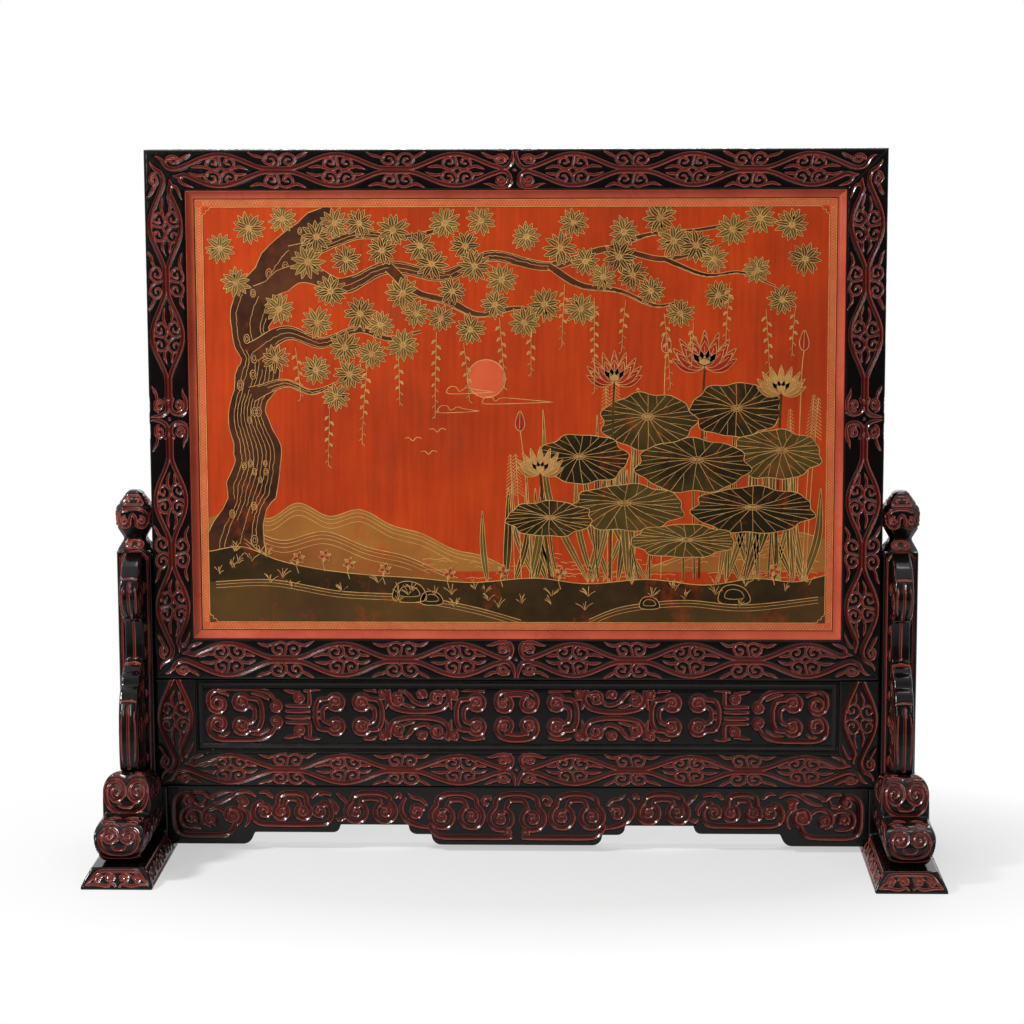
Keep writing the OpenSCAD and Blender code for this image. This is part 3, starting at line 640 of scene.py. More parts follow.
def material(name, **values):
    """A new material, its node tree and its shader. Values name the shader's inputs, with _ for a space."""
    made = bpy.data.materials.new(name)
    made.use_nodes = True
    shader = made.node_tree.nodes["Principled BSDF"]
    for key, value in values.items():
        shader.inputs[key.replace("_", " ")].default_value = value
    return made, made.node_tree, shader


def node(tree, kind, **values):
    """A new node. Values name its properties, or its input sockets with _ for a space."""
    made = tree.nodes.new(kind)
    for key, value in values.items():
        if hasattr(made, key):
            setattr(made, key, value)
        else:
            made.inputs[key.replace("_", " ")].default_value = value
    return made


def feed(tree, socket, value):
    """Links an input to a socket, or sets it to a value."""
    if isinstance(value, bpy.types.NodeSocket):
        tree.links.new(value, socket)
    else:
        socket.default_value = (*value, 1) if isinstance(value, tuple) else value


def ramp(tree, source, stops):
    """Colour by position. A colour is a triple, or one value for a grey."""
    made = tree.nodes.new("ShaderNodeValToRGB")
    while len(made.color_ramp.elements) < len(stops):
        made.color_ramp.elements.new(0.5)
    for element, (position, colour) in zip(made.color_ramp.elements, stops):
        element.position = position
        element.color = (*colour, 1) if isinstance(colour, tuple) else (colour, colour, colour, 1)
    feed(tree, made.inputs["Fac"], source)
    return made.outputs["Color"]


def noise(tree, scale, detail=4.0, rough=0.55, stretch=(1, 1, 1)):
    """Noise in the object's own coordinates, in metres, stretched along x, y and z."""
    coords = tree.nodes.new("ShaderNodeTexCoord")
    mapping = node(tree, "ShaderNodeMapping", Scale=stretch)
    made = node(tree, "ShaderNodeTexNoise", Scale=scale, Detail=detail, Roughness=rough)
    feed(tree, mapping.inputs["Vector"], coords.outputs["Object"])
    feed(tree, made.inputs["Vector"], mapping.outputs["Vector"])
    return made.outputs["Fac"]


def mix(tree, factor, a, b, blend="MIX"):
    """Colour mix. factor, a and b are sockets or values."""
    made = tree.nodes.new("ShaderNodeMix")
    made.data_type, made.blend_type = "RGBA", blend
    for index, value in ((0, factor), (6, a), (7, b)):
        feed(tree, made.inputs[index], value)
    return made.outputs[2]


def maths(tree, operation, *values, clamp=False):
    """Sum or other operation on sockets or values."""
    made = tree.nodes.new("ShaderNodeMath")
    made.operation, made.use_clamp = operation, clamp
    for socket, value in zip(made.inputs, values):
        feed(tree, socket, value)
    return made.outputs[0]


def map_range(tree, source, start, stop, low, high):
    """Runs from low to high while the source runs from start to stop."""
    made = node(tree, "ShaderNodeMapRange", From_Min=start, From_Max=stop, To_Min=low, To_Max=high)
    feed(tree, made.inputs["Value"], source)
    return made.outputs["Result"]


def bump(tree, shader, height, strength, distance):
    """Gives a shader small bumps, their distance in metres."""
    made = node(tree, "ShaderNodeBump", Strength=strength, Distance=distance)
    feed(tree, made.inputs["Height"], height)
    feed(tree, shader.inputs["Normal"], made.outputs["Normal"])


def carved_lacquer():
    """Black lacquer over red. The depth of the carving picks the layer. Where red begins there is a lighter
    pinkish band, partly the red layer's edge and partly a painted highlight, and painted shade darkens the
    red towards the groove's floor.
    """
    made, tree, shader = material("carved_lacquer", Specular_IOR_Level=LACQUER_GLOSS)
    cut = node(tree, "ShaderNodeAttribute", attribute_name="carve").outputs["Fac"]
    level = maths(tree, "ADD", cut, maths(tree, "MULTIPLY_ADD", noise(tree, 60, 3), 0.08, -0.04))
    # The rim band is partly a painted highlight.
    layers = [(0.0, BLACK), (0.09, BLACK), (0.13, BROWN_BLACK), (0.18, RIM_PAINTED_HIGHLIGHT), (0.26, RIM_PAINTED_HIGHLIGHT), (0.36, RED)]
    # Painted shade: the red darkens towards the groove's floor.
    colour = ramp(tree, level, layers + [(0.66, RED_PAINTED_SHADE), (1.0, FLOOR_PAINTED_SHADE)])
    dust = ramp(tree, noise(tree, 25, 5), [(0.35, 0.75), (0.7, (1.15, 1.1, 1.1))])
    feed(tree, shader.inputs["Base Color"], mix(tree, 1.0, colour, dust, "MULTIPLY"))
    feed(tree, shader.inputs["Roughness"], ramp(tree, noise(tree, 90, 4), [(0.3, 0.13), (0.75, 0.22)]))
    bump(tree, shader, noise(tree, 140, 3), strength=0.18, distance=0.0006)
    return made


def plain_lacquer(name, colour, alternate, rough, specular=LACQUER_GLOSS):
    """Plain lacquer with faint cloudiness and a waving surface."""
    made, tree, shader = material(name, Specular_IOR_Level=specular)
    tone = ramp(tree, noise(tree, 18, 5), [(0.3, colour), (0.75, alternate)])
    feed(tree, shader.inputs["Base Color"], tone)
    spread = ramp(tree, noise(tree, 70, 4), [(0.3, rough * 0.8), (0.75, rough * 1.35)])
    feed(tree, shader.inputs["Roughness"], spread)
    bump(tree, shader, noise(tree, 110, 3), strength=0.12, distance=0.0006)
    return made


def vermilion_ground():
    """The picture's ground: vermilion with fine upright streaks, stains and rubbing."""
    made, tree, shader = material("vermilion_ground", Specular_IOR_Level=PAINT_GLOSS)
    tones = [(0.28, GROUND_DARK), (0.5, GROUND_MIDDLE), (0.74, GROUND_LIGHT)]
    streaks = [(0.3, (0.84, 0.82, 0.82)), (0.7, 1.08)]
    cloud = ramp(tree, noise(tree, 7, 6, 0.6), tones)
    streak = ramp(tree, noise(tree, 30, 5, 0.6, (9, 1, 0.5)), streaks)
    stain = ramp(tree, noise(tree, 14, 8, 0.72, (1, 1, 0.6)), [(0.56, 0.0), (0.76, 1.0)])
    clean = mix(tree, 1.0, cloud, streak, "MULTIPLY")
    colour = mix(tree, maths(tree, "MULTIPLY", stain, 0.6), clean, GROUND_STAIN)
    feed(tree, shader.inputs["Base Color"], colour)
    feed(tree, shader.inputs["Roughness"], ramp(tree, noise(tree, 40, 5), [(0.3, 0.34), (0.7, 0.5)]))
    bump(tree, shader, noise(tree, 60, 6, 0.6, (1.5, 1, 1)), strength=0.2, distance=0.0008)
    return made


def painted(name, dark, light, worn=0.3, scale=22):
    """A painted layer that varies between two tones and is rubbed through to the ground in places."""
    made, tree, shader = material(name, Specular_IOR_Level=PAINT_GLOSS, Roughness=0.4)
    tone = node(tree, "ShaderNodeAttribute", attribute_name="carve").outputs["Fac"]
    wander = maths(tree, "MULTIPLY_ADD", noise(tree, scale, 6, 0.62), 1.3, -0.65)
    colour = ramp(tree, maths(tree, "ADD", tone, wander), [(0.1, dark), (0.95, light)])
    rub = ramp(tree, noise(tree, 48, 8, 0.7, (1, 1, 0.7)), [(0.54, 0.0), (0.70, 1.0)])
    colour = mix(tree, maths(tree, "MULTIPLY", rub, worn), colour, GROUND_MIDDLE)
    feed(tree, shader.inputs["Base Color"], colour)
    bump(tree, shader, noise(tree, 150, 4), strength=0.15, distance=0.0004)
    return made


def gold_line():
    """Gold paint, darker where it is rubbed."""
    made, tree, shader = material("gold_line", Metallic=0.12, Roughness=0.45)
    rub = ramp(tree, noise(tree, 75, 6, 0.7), [(0.40, (0.52, 0.29, 0.08)), (0.74, (0.30, 0.11, 0.03))])
    feed(tree, shader.inputs["Base Color"], rub)
    return made


def core_wood():
    """Bare wood of battens, pegs and dowels."""
    made, tree, shader = material("core_wood", Roughness=0.62)
    tones = [(0.3, (0.16, 0.085, 0.04)), (0.7, (0.27, 0.16, 0.08))]
    feed(tree, shader.inputs["Base Color"], ramp(tree, noise(tree, 20, 5, 0.6, (1, 1, 0.12)), tones))
    return made


LACQUER = carved_lacquer()
MOULDING_BLACK = plain_lacquer("black_moulding", BLACK, (0.007, 0.005, 0.005), rough=0.22)
MOULDING_RED = plain_lacquer("red_moulding", WORN_DARK, WORN_LIGHT, rough=0.3, specular=0.25)
BACK_BLACK = plain_lacquer("back_lacquer", (0.006, 0.004, 0.0035), (0.012, 0.007, 0.006), rough=0.26)
GROUND = vermilion_ground()
WOOD = core_wood()
PAINTS = {
    "olive": painted("paint_olive", (0.014, 0.010, 0.004), (0.110, 0.070, 0.016), worn=0.28),
    "bark": painted("paint_bark", (0.022, 0.009, 0.005), (0.100, 0.032, 0.013), worn=0.35, scale=40),
    "ochre": painted("paint_ochre", (0.20, 0.080, 0.018), (0.44, 0.24, 0.070), worn=0.2),
    "hill": painted("paint_hill", (0.14, 0.036, 0.010), (0.27, 0.110, 0.022), worn=0.6),
    "bank": painted("paint_bank", (0.012, 0.008, 0.004), (0.080, 0.040, 0.011), worn=0.35, scale=14),
    "red": painted("paint_red", (0.17, 0.006, 0.005), (0.34, 0.030, 0.014), worn=0.1),
    "moon": painted("paint_moon", (0.44, 0.062, 0.024), (0.56, 0.105, 0.040), worn=0.3),
    "gold": gold_line(),
}


# Frame and stand members

def squeezed(lines, share):
    """The lines with their places across the bar taken to a share of themselves."""
    return [line * np.array([1, share, 1]) for line in lines]


def chain_field(half, width, crests, half_pitch, squeeze=1.0):
    """Carving of a rail with a chain to both sides of its middle, squeezed across to the rail's face."""
    lines = both_sides(chain(crests, half_pitch))
    lines.append(volute(0, 0, 0.6, turns=0.6, w=1.0))
    return Field((-half, half), (-width / 2, width / 2)).cut(squeezed(lines, squeeze))


RAIL_FIELD = chain_field(HALF_W + 2, CHAIN_WIDTH, RAIL_CRESTS, RAIL_HALF_PITCH)
STILE_FIELD = chain_field((FRAME_HIGH - FRAME_LOW) / 2 + 2, CHAIN_WIDTH, STILE_CRESTS, STILE_HALF_PITCH)


def face_across(shift=0.0, scale=1.0):
    """Place of a point of a front or back face across its field."""
    return lambda y, w: (w - shift) * scale


def front_and_back(field, shift=0.0, scale=1.0):
    return {0: (field, face_across(shift, scale)), 2: (field, face_across(shift, scale))}


def all_faces(field, scale=1.0):
    """The same carving on front and back and, a little wider, on the outer edge."""
    return {**front_and_back(field, 0.0, scale), 1: (field, lambda y, w: y * EDGE_SPREAD)}


def backwards(reach):
    """The same end on the other side."""
    return lambda y, w: -reach(y, w)


def level_end(u):
    return lambda y, w: np.full(len(w), u)


def mitre(half, run, face):
    """How far a bar reaches at each w, with a mitre that runs in by run over its face."""
    return lambda y, w: half - MITRE_GAP - (face / 2 - w) * run / face


def with_slot_rows(section):
    """The section with extra rows on its outer face, just inside and just outside the slot's sides."""
    extra = [[y, RAIL_HALF, 0, 1, 1] for y in (-SLOT_Y - SLOT_EDGE, -SLOT_Y, SLOT_Y, SLOT_Y + SLOT_EDGE)]
    outer = (section[:, 4] == 1) & (section[:, 3] == 1)
    first, last = np.flatnonzero(outer)[[0, -1]]
    middle = np.vstack([section[outer], extra])
    return np.vstack([section[:first], middle[np.argsort(middle[:, 0])], section[last + 1:]])


def along_x(z, sign=1):
    """Place of a bar that lies along x at height z, its outer edge up where sign is 1."""
    return lambda u, y, w: np.stack([u, y, z + sign * w], -1)


def upright(side, x, z):
    """Place of a bar that stands at x from the middle and is measured from height z."""
    return lambda u, y, w: np.stack([side * (x + w), y, z + u], -1)


def frame_members():
    """The four members of the screen's frame, mitred at 45 degrees or nearly so."""
    half_h = (FRAME_HIGH - FRAME_LOW) / 2
    slot_in = post_hi[0] + HALF_W + SLOT_SPARE

    def low_end(y, w):
        reach = mitre(HALF_W, RAIL_FACE, LOW_FACE)(y, w)
        return np.where(np.abs(y) < SLOT_Y, np.minimum(reach, HALF_W - slot_in), reach)

    def slot(u, y, w, face):
        inside = (face == 1) & (np.abs(y) <= SLOT_Y) & (u < FRAME_LOW + SLOT_TOP - FRAME_MID)
        return np.where(inside, slot_in, 0)

    section = ring(FRAME_Y, RAIL_HALF, step_front=0.8, step_side=1.15)
    end = mitre(HALF_W, RAIL_FACE, RAIL_FACE)
    place = along_x(FRAME_HIGH - RAIL_HALF)
    member("frame_top_rail", "screen", section, backwards(end), end, all_faces(RAIL_FIELD), place, step=0.86)

    section = ring(FRAME_Y, LOW_FACE / 2, step_front=0.82, step_side=1.2)
    fields = all_faces(RAIL_FIELD, RAIL_FACE / LOW_FACE)
    place = along_x(FRAME_LOW + LOW_FACE / 2, -1)
    member("frame_bottom_rail", "screen", section, backwards(low_end), low_end, fields, place, step=0.88)

    section = with_slot_rows(ring(FRAME_Y, RAIL_HALF, step_front=0.75, step_side=1.0))
    low, high = backwards(mitre(half_h, LOW_FACE, RAIL_FACE)), mitre(half_h, RAIL_FACE, RAIL_FACE)
    fields = all_faces(STILE_FIELD)
    for side, word in ((-1, "left"), (1, "right")):
        place = upright(side, HALF_W - RAIL_HALF, FRAME_MID)
        member(f"frame_stile_{word}", "screen", section, low, high, fields, place, step=0.8, notch=slot)


def stand_members():
    """Lower rail, short stiles and waist panel."""
    half = LOWER_FACE / 2
    field = chain_field(STAND_X + 2, LOWER_FACE, RAIL_CRESTS, RAIL_HALF_PITCH, LOWER_FACE / RAIL_FACE)
    fields = front_and_back(field)
    section = ring(FRAME_Y, half, step_front=0.8, step_side=1.3)
    end = mitre(STAND_X, STAND_STILE, LOWER_FACE)
    place = along_x(STAND_LOW + half, -1)
    member("stand_lower_rail", "stand", section, backwards(end), end, fields, place, step=0.88)

    tall = FRAME_LOW - STAND_LOW
    width = STAND_STILE / 2
    lines = squeezed(chain_to_corner(63.5, tall), STAND_STILE / RAIL_FACE)
    fields = front_and_back(Field((0, tall), (-width, width)).cut(lines))
    section = ring(FRAME_Y, width, step_front=0.7, step_side=1.1)

    def foot(y, w):
        return MITRE_GAP + (width - w) * LOWER_FACE / STAND_STILE

    top = level_end(tall - SEAT_GAP)
    for side, word in ((-1, "left"), (1, "right")):
        place = upright(side, STAND_X - width, STAND_LOW)
        member(f"stand_stile_{word}", "stand", section, foot, top, fields, place, step=0.75)

    lines = waist_lines()
    field = Field((-WAIST_X, WAIST_X), (-30, 30)).cut(both_sides(lines + flipped(lines, v=True)), 1.7)
    tall_half = (panel_hi[2] - panel_lo[2]) / 2
    centre = (panel_hi[2] + panel_lo[2]) / 2
    fields = front_and_back(field, (waist_lo[2] + waist_hi[2]) / 2 - centre)
    section = ring(-panel_lo[1], tall_half, step_front=0.78, step_side=1.2, inner_step=4.0)
    ends = level_end(panel_lo[0]), level_end(panel_hi[0])
    member("waist_panel", "stand", section, *ends, fields, along_x(centre), step=0.85)


def chain_to_corner(crest, length):
    """Chain of a short stile: one lozenge between the mitre at 0 and the seat at length."""
    half = chain([crest], RAIL_HALF_PITCH, end=crest - (length - crest))
    return moved(flipped(half, u=True), 2 * crest)


def apron_edge(u):
    """Height of the apron's lower edge at distance u from the middle, read from the CAD node."""
    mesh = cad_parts["apron_front"].data
    co = np.array([v.co for v in mesh.vertices]) / MM
    front = co[:, 1] < co[:, 1].min() + 0.1
    low = co[(co[:, 2] < apron_hi[2] - 1) & front & (co[:, 0] >= 0)][:, [0, 2]]
    low = np.unique(np.round(low, 3), axis=0)
    # At a step several heights share one place: the line takes them in the order that carries it on
    rows, height = [], apron_lo[2]
    for x in np.unique(low[:, 0]):
        here = low[low[:, 0] == x][:, 1]
        here = here if abs(here[0] - height) <= abs(here[-1] - height) else here[::-1]
        rows += [(x + 1e-4 * k, z) for k, z in enumerate(here)]
        height = here[-1]
    rows = np.array(rows)
    return np.interp(np.abs(u), rows[:, 0], rows[:, 1])


def aprons():
    """Front and rear apron. The section's height follows the cusped lower edge."""
    thick = (apron_hi[1] - apron_lo[1]) / 2
    y_mid = (apron_hi[1] + apron_lo[1]) / 2
    field = Field((-apron_hi[0], apron_hi[0]), (apron_lo[2], apron_hi[2])).cut(both_sides(apron_lines()))
    u = np.linspace(apron_lo[0], apron_hi[0], int(2 * apron_hi[0] / 0.8))
    r, back_r = 2.2, 1.0
    # Rows of y, share of the height above the arris, rise and normal y
    rows = [(-thick, t, 0.0, -1) for t in np.linspace(1, 0, 60)]
    for k in range(1, 5):
        a = math.pi / 8 * k
        rows.append((-thick + r - r * math.cos(a), 0, -r * math.sin(a), -math.cos(a)))
    rows += [(-thick + r + (thick - back_r) * t, 0, -r, 0) for t in (0.3, 0.6)]
    rows.append((thick, 0, back_r - r, 1))
    rows += [(thick, t, 0.0, 1) for t in np.linspace(0.03, 1, 34)]
    across, share, rise, normal = np.array(rows).T
    base = apron_edge(u)[:, None] + r
    z = base + share * (apron_hi[2] - base) + rise
    x = np.broadcast_to(u[:, None], z.shape)
    depth = np.where(np.abs(normal) > 0.5, field.at(x, z), 0)
    y = y_mid + across - normal * depth
    for side, word in ((1, "front"), (-1, "rear")):
        bar(f"apron_{word}", "stand", np.stack([x, side * y, z], -1), depth)


# Posts, spandrels, drums and bases, carved on a fine skin of the CAD solids

def values_of(items, name, width=1, kind=np.float32):
    """One property of a mesh's points, edges or corners as an array."""
    values = np.zeros(len(items) * width, kind)
    items.foreach_get(name, values)
    return values.reshape(-1, width) if width > 1 else values


def skin(name, voxel, soften):
    """Points, faces and normals of an even skin over a CAD node, its arrises softened."""
    work = bpy.data.objects.new("work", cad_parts[name].data.copy())
    bpy.context.scene.collection.objects.link(work)
    remesh = work.modifiers.new("even", "REMESH")
    remesh.mode, remesh.voxel_size = "VOXEL", voxel * MM
    mesh = bpy.data.meshes.new_from_object(work.evaluated_get(bpy.context.evaluated_depsgraph_get()))
    bpy.data.objects.remove(work)
    verts = values_of(mesh.vertices, "co", 3).astype(float) / MM
    a, b = values_of(mesh.edges, "vertices", 2, np.int32).T
    count = len(verts)
    share = np.bincount(np.concatenate([a, b]), minlength=count)[:, None]
    for _ in range(soften):
        total = [np.bincount(a, v[b], count) + np.bincount(b, v[a], count) for v in verts.T]
        verts = 0.5 * verts + 0.5 * np.stack(total, 1) / share
    mesh.vertices.foreach_set("co", (verts * MM).astype(np.float32).ravel())
    mesh.update()
    normals = values_of(mesh.vertex_normals, "vector", 3).astype(float)
    quads = values_of(mesh.loops, "vertex_index", 1, np.int32).reshape(-1, 4)
    bpy.data.meshes.remove(mesh)
    return verts, quads, normals


def carved_set(node_name, targets, depth_of, voxel, soften):
    """Carves the skin of one node and mirrors it for its fellows. targets gives each node's signs in x, y."""
    verts, quads, normals = skin(node_name, voxel, soften)
    depth = depth_of(verts, normals)
    sunk = verts - normals * depth[:, None]
    for target, (sx, sy) in targets.items():
        carved_piece(target, "stand", sunk * np.array([sx, sy, 1]), [quads], depth)


def drum_depth(verts, normals):
    """Carving of the left front drum, over its rounded noses, tops and sides."""
    x = verts[:, 0] - POST_X
    y, z = verts[:, 1], verts[:, 2]
    w = 1.7
    high = both_sides([
        stroke([
            (0, -6.4), (8, -5.6), (14.6, -1), (18, 6), (18, 13.6), (14.4, 19.4), (8.6, 20.4), (3.6, 17),
            (2, 11.4), (4.8, 6), (10, 4.4), (14, 8), (13.4, 13.4), (9.4, 15.2), (6.8, 12.2), (8.8, 9.8)
        ], w),
        stroke([(0, -0.8), (4.4, -0.2), (7.6, 3.2)], w * 0.8, 1, 0.6),
        stroke([
            (2.6, 23.6), (8, 26.6), (14, 25.8), (16.8, 30), (13, 34), (8, 33.2), (7.6, 30), (11.2, 29.4)
        ], 1.35),
        leaf([(12.6, 40), (15.5, 46), (14, 54), (15.6, 62)], 1.3)
    ])
    low = both_sides([
        stroke([
            (0, -9), (7, -8.2), (13, -4), (16.4, 3), (15.8, 10), (12, 15.4), (6.8, 15.6), (3, 12),
            (2.6, 7), (6, 3.2), (10.6, 4), (12.2, 8), (9.8, 11.2), (6.8, 9.6), (8, 7.4)
        ], w),
        stroke([(0, -3.8), (3.6, -3.2), (6, -0.6)], w * 0.8, 1, 0.6),
        stroke([
            (2.4, 19.4), (7, 22.4), (12.4, 21.2), (14, 24.6), (10.6, 27.8), (6.6, 26.8), (7.6, 24.6)
        ], 1.3),
        stroke([(0, -14.6), (9, -14), (17, -10), (21, -2)], w * 0.8, 1, 0.5),
        volute(8.4, 37.5, 5.4, start=200, turns=1.4, spin=-1, w=1.3),
        leaf([(12.6, 33), (15.4, 30.4), (16.6, 26)], 1.2)
    ])
    high_field = Field((-22, 22), (-12, 92)).cut(high, 1.6)
    low_field = Field((-24, 24), (-30, 56)).cut(low, 1.6)
    side_lines = [
        stroke([(-85, 57), (-86.4, 68), (-80, 79), (-68, 83), (-46, 79.6), (-23, 74.4)], 1.5),
        volute(-69, 69, 8.2, start=150, turns=1.5, spin=1, w=1.5),
        volute(-41, 66, 7.6, start=30, turns=1.5, spin=-1, w=1.5),
        stroke([(-62.5, 64), (-54, 60.4), (-47, 60)], 1.4),
        leaf([(-59, 75), (-52, 76.4), (-45, 74.6)], 1.3),
        stroke([(-23, 57), (-23, 73)], 1.3),
        leaf([(-31, 60), (-28, 66), (-30, 72)], 1.3),
        stroke([(-118, 22), (-128, 27), (-131, 36), (-127, 45), (-118, 50), (-96, 50)], 1.5, 0.8, 0.6),
        volute(-115.5, 36, 8.4, start=150, turns=1.5, spin=1, w=1.6),
        volute(-89, 36, 7.6, start=30, turns=1.5, spin=-1, w=1.5),
        stroke([(-108, 31), (-102, 28), (-95, 30)], 1.4),
        volute(-63, 36, 7.6, start=150, turns=1.5, spin=1, w=1.5),
        volute(-38, 36, 7.6, start=30, turns=1.5, spin=-1, w=1.5),
        leaf([(-106, 44), (-100, 47), (-95, 44)], 1.3),
        stroke([(-56, 31), (-51, 28), (-45, 31)], 1.4),
        leaf([(-56, 44), (-50, 47.4), (-44, 44)], 1.3),
        leaf([(-81, 42), (-76, 46), (-71, 42)], 1.3),
        leaf([(-81, 30), (-76, 26), (-71, 30)], 1.3)
    ]
    side_field = Field((-134, -16), (18, 90)).cut(side_lines, 1.5)
    depth = np.zeros(len(verts))
    is_low = (z < LOW_DRUM_TOP) | (y < LOW_DRUM_BACK)
    for field, here, (yc, zc), (ry, rz) in (
            (high_field, ~is_low, (-70.0, 60.0), (20.0, 27.0)),
            (low_field, is_low, (-115.5, 35.5), (17.5, 17.5))):
        turn = np.arctan2((z - zc) / rz, (yc - y) / ry)
        r = (ry + rz) / 2
        along = np.where(y < yc, r * turn, r * math.pi / 2 + (y - yc))
        along = np.where((z < zc) & ~is_low, z - zc, along)
        seen = here & (np.abs(normals[:, 0]) < 0.66) & ((normals[:, 1] < -0.2) | (normals[:, 2] > 0.3))
        depth = np.where(seen, field.at(x, along), depth)
    flank = np.abs(normals[:, 0]) > 0.72
    return np.where(flank, side_field.at(y, z), depth)


def spandrel_depth(verts, normals):
    """Carving of a spandrel: a bold line down its cusped edge between ledges, and scrolls on its sides."""
    x = verts[:, 0] - POST_X
    y, z = verts[:, 1], verts[:, 2]
    h = z - DRUM_TOP
    edge = [
        stroke([(0, 2), (0, 30), (0, 58)], 1.3),
        stroke([(0, 94), (0, 110), (0, 127)], 1.2),
        stroke([(0, 133), (0, 150), (0, 166)], 1.3)
    ]
    for low, high in ((6, 54), (136, 164)):
        bow = [(5.4, low), (6.6, (low + high) / 2), (5.4, high)]
        edge += both_sides([stroke(bow, 0.9, 0.4, 0.4, 0.3)])
    edge += [stroke([(-8, k - 0.8), (0, k), (8, k - 0.8)], 0.8) for k in (63, 91, 130, 170)]
    edge_field = Field((-9, 9), (0, 190)).cut(edge, 1.5)
    side = [
        stroke([(6, 5), (44, 5), (50, 20), (50, 42), (44, 58)], 1.5, 0.8, 0.6),
        volute(33, 32, 12, start=40, turns=1.7, spin=1, w=1.8),
        volute(12, 33, 7, start=200, turns=1.4, spin=-1, w=1.5),
        leaf([(26, 14), (14, 12), (6, 19)], 1.5),
        leaf([(6, 46), (14, 52), (25, 50)], 1.5),
        stroke([(39, 64), (33, 68), (26, 76)], 1.3, 0.6, 0.6),
        volute(17, 68, 7.5, start=0, turns=1.5, spin=1, w=1.6),
        leaf([(8, 78), (10, 84), (7, 92)], 1.4),
        stroke([(30, 82), (22, 87), (15, 90)], 1.2, 0.6, 0.6),
        stroke([(4.5, 96), (5, 110), (7, 126)], 1.3, 0.6, 0.6),
        volute(22, 148, 9, start=-90, turns=1.6, spin=1, w=1.7),
        stroke([(10, 133), (24, 134), (36, 146), (36, 158), (28, 166)], 1.4, 0.5, 0.5),
        leaf([(7, 142), (9, 156), (18, 166)], 1.4),
        stroke([(24, 172), (21, 179), (11, 184)], 1.2, 0.6, 0.6)
    ]
    side_field = Field((-1, 56), (0, 192)).cut(side, 1.5)
    flank = np.abs(normals[:, 0]) > 0.75
    forward = (normals[:, 1] < -0.1) | (np.abs(normals[:, 2]) > 0.6)
    front = (np.abs(normals[:, 0]) < 0.6) & forward & (h > 1.0)
    depth = np.where(flank, side_field.at(POST_Y - y, h), 0)
    return np.where(front, edge_field.at(x, h), depth)


def base_depth(verts, normals):
    """Carving of the left base: scroll friezes on its four flares, panels on the post's block."""
    x = verts[:, 0] - POST_X
    y, z = verts[:, 1], verts[:, 2]
    front = both_sides([
        stroke([(0, 15.6), (13, 15.4), (18.6, 13.6), (22, 9.6), (27, 5)], 1.3, 1.0, 0.5),
        stroke([(27.6, 4.4), (20, 5.0), (11, 3.8), (4.5, 5.4), (1.4, 2.6)], 1.2, 0.5, 0.4),
        volute(6.8, 9.6, 3.4, start=200, turns=1.35, spin=-1, w=1.1),
        volute(17.2, 9.2, 3.3, start=160, turns=1.35, spin=-1, w=1.1),
        stroke([(1.8, 9.6), (3.4, 12.2), (8, 13), (12, 11)], 0.95, 0.5, 0.6)
    ])
    front_field = Field((-33, 33), (0, 20)).cut(front, 1.4)
    frieze = []
    for i, c in enumerate(np.arange(-126, 127, 28)):
        unit = [
            volute(-6, 9.0, 3.8, start=-30, turns=1.35, spin=1, w=1.15),
            volute(7, 8.8, 3.8, start=150, turns=1.35, spin=1, w=1.15),
            stroke([(-2.6, 7.4), (1, 9), (3.6, 11)], 1.15),
            leaf([(9.4, 12.6), (13.5, 14), (18, 12.4)], 1.1)
        ]
        frieze += moved(flipped(unit, u=i % 2 == 0), c)
    frieze += [
        stroke([(-136, 15.4), (0, 15.4), (136, 15.4)], 1.1),
        stroke([(-140, 3.6), (0, 3.6), (140, 3.6)], 1.1)
    ]
    frieze_field = Field((-150, 150), (0, 20)).cut(frieze, 1.4)
    block = both_sides([stroke([(0, 54), (13, 54), (14, 48), (14, 30), (13, 24), (0, 24)], 1.2)])
    block += moved(ruyi(5.4, 3.4, 11.0, 7.6, 1.2), 0, 35)
    block_field = Field((-18, 18), (18, 60)).cut(block, 1.3)
    nx, ny = normals[:, 0], normals[:, 1]
    flare = z < BASE_TOP + 0.6
    depth = np.where((np.abs(ny) > 0.45) & flare, front_field.at(x, z), 0)
    depth = np.where((np.abs(nx) > 0.45) & flare & (np.abs(y) > 19), frieze_field.at(y, z), depth)
    return np.where((np.abs(nx) > 0.8) & ~flare & (z < 60), block_field.at(y, z), depth)


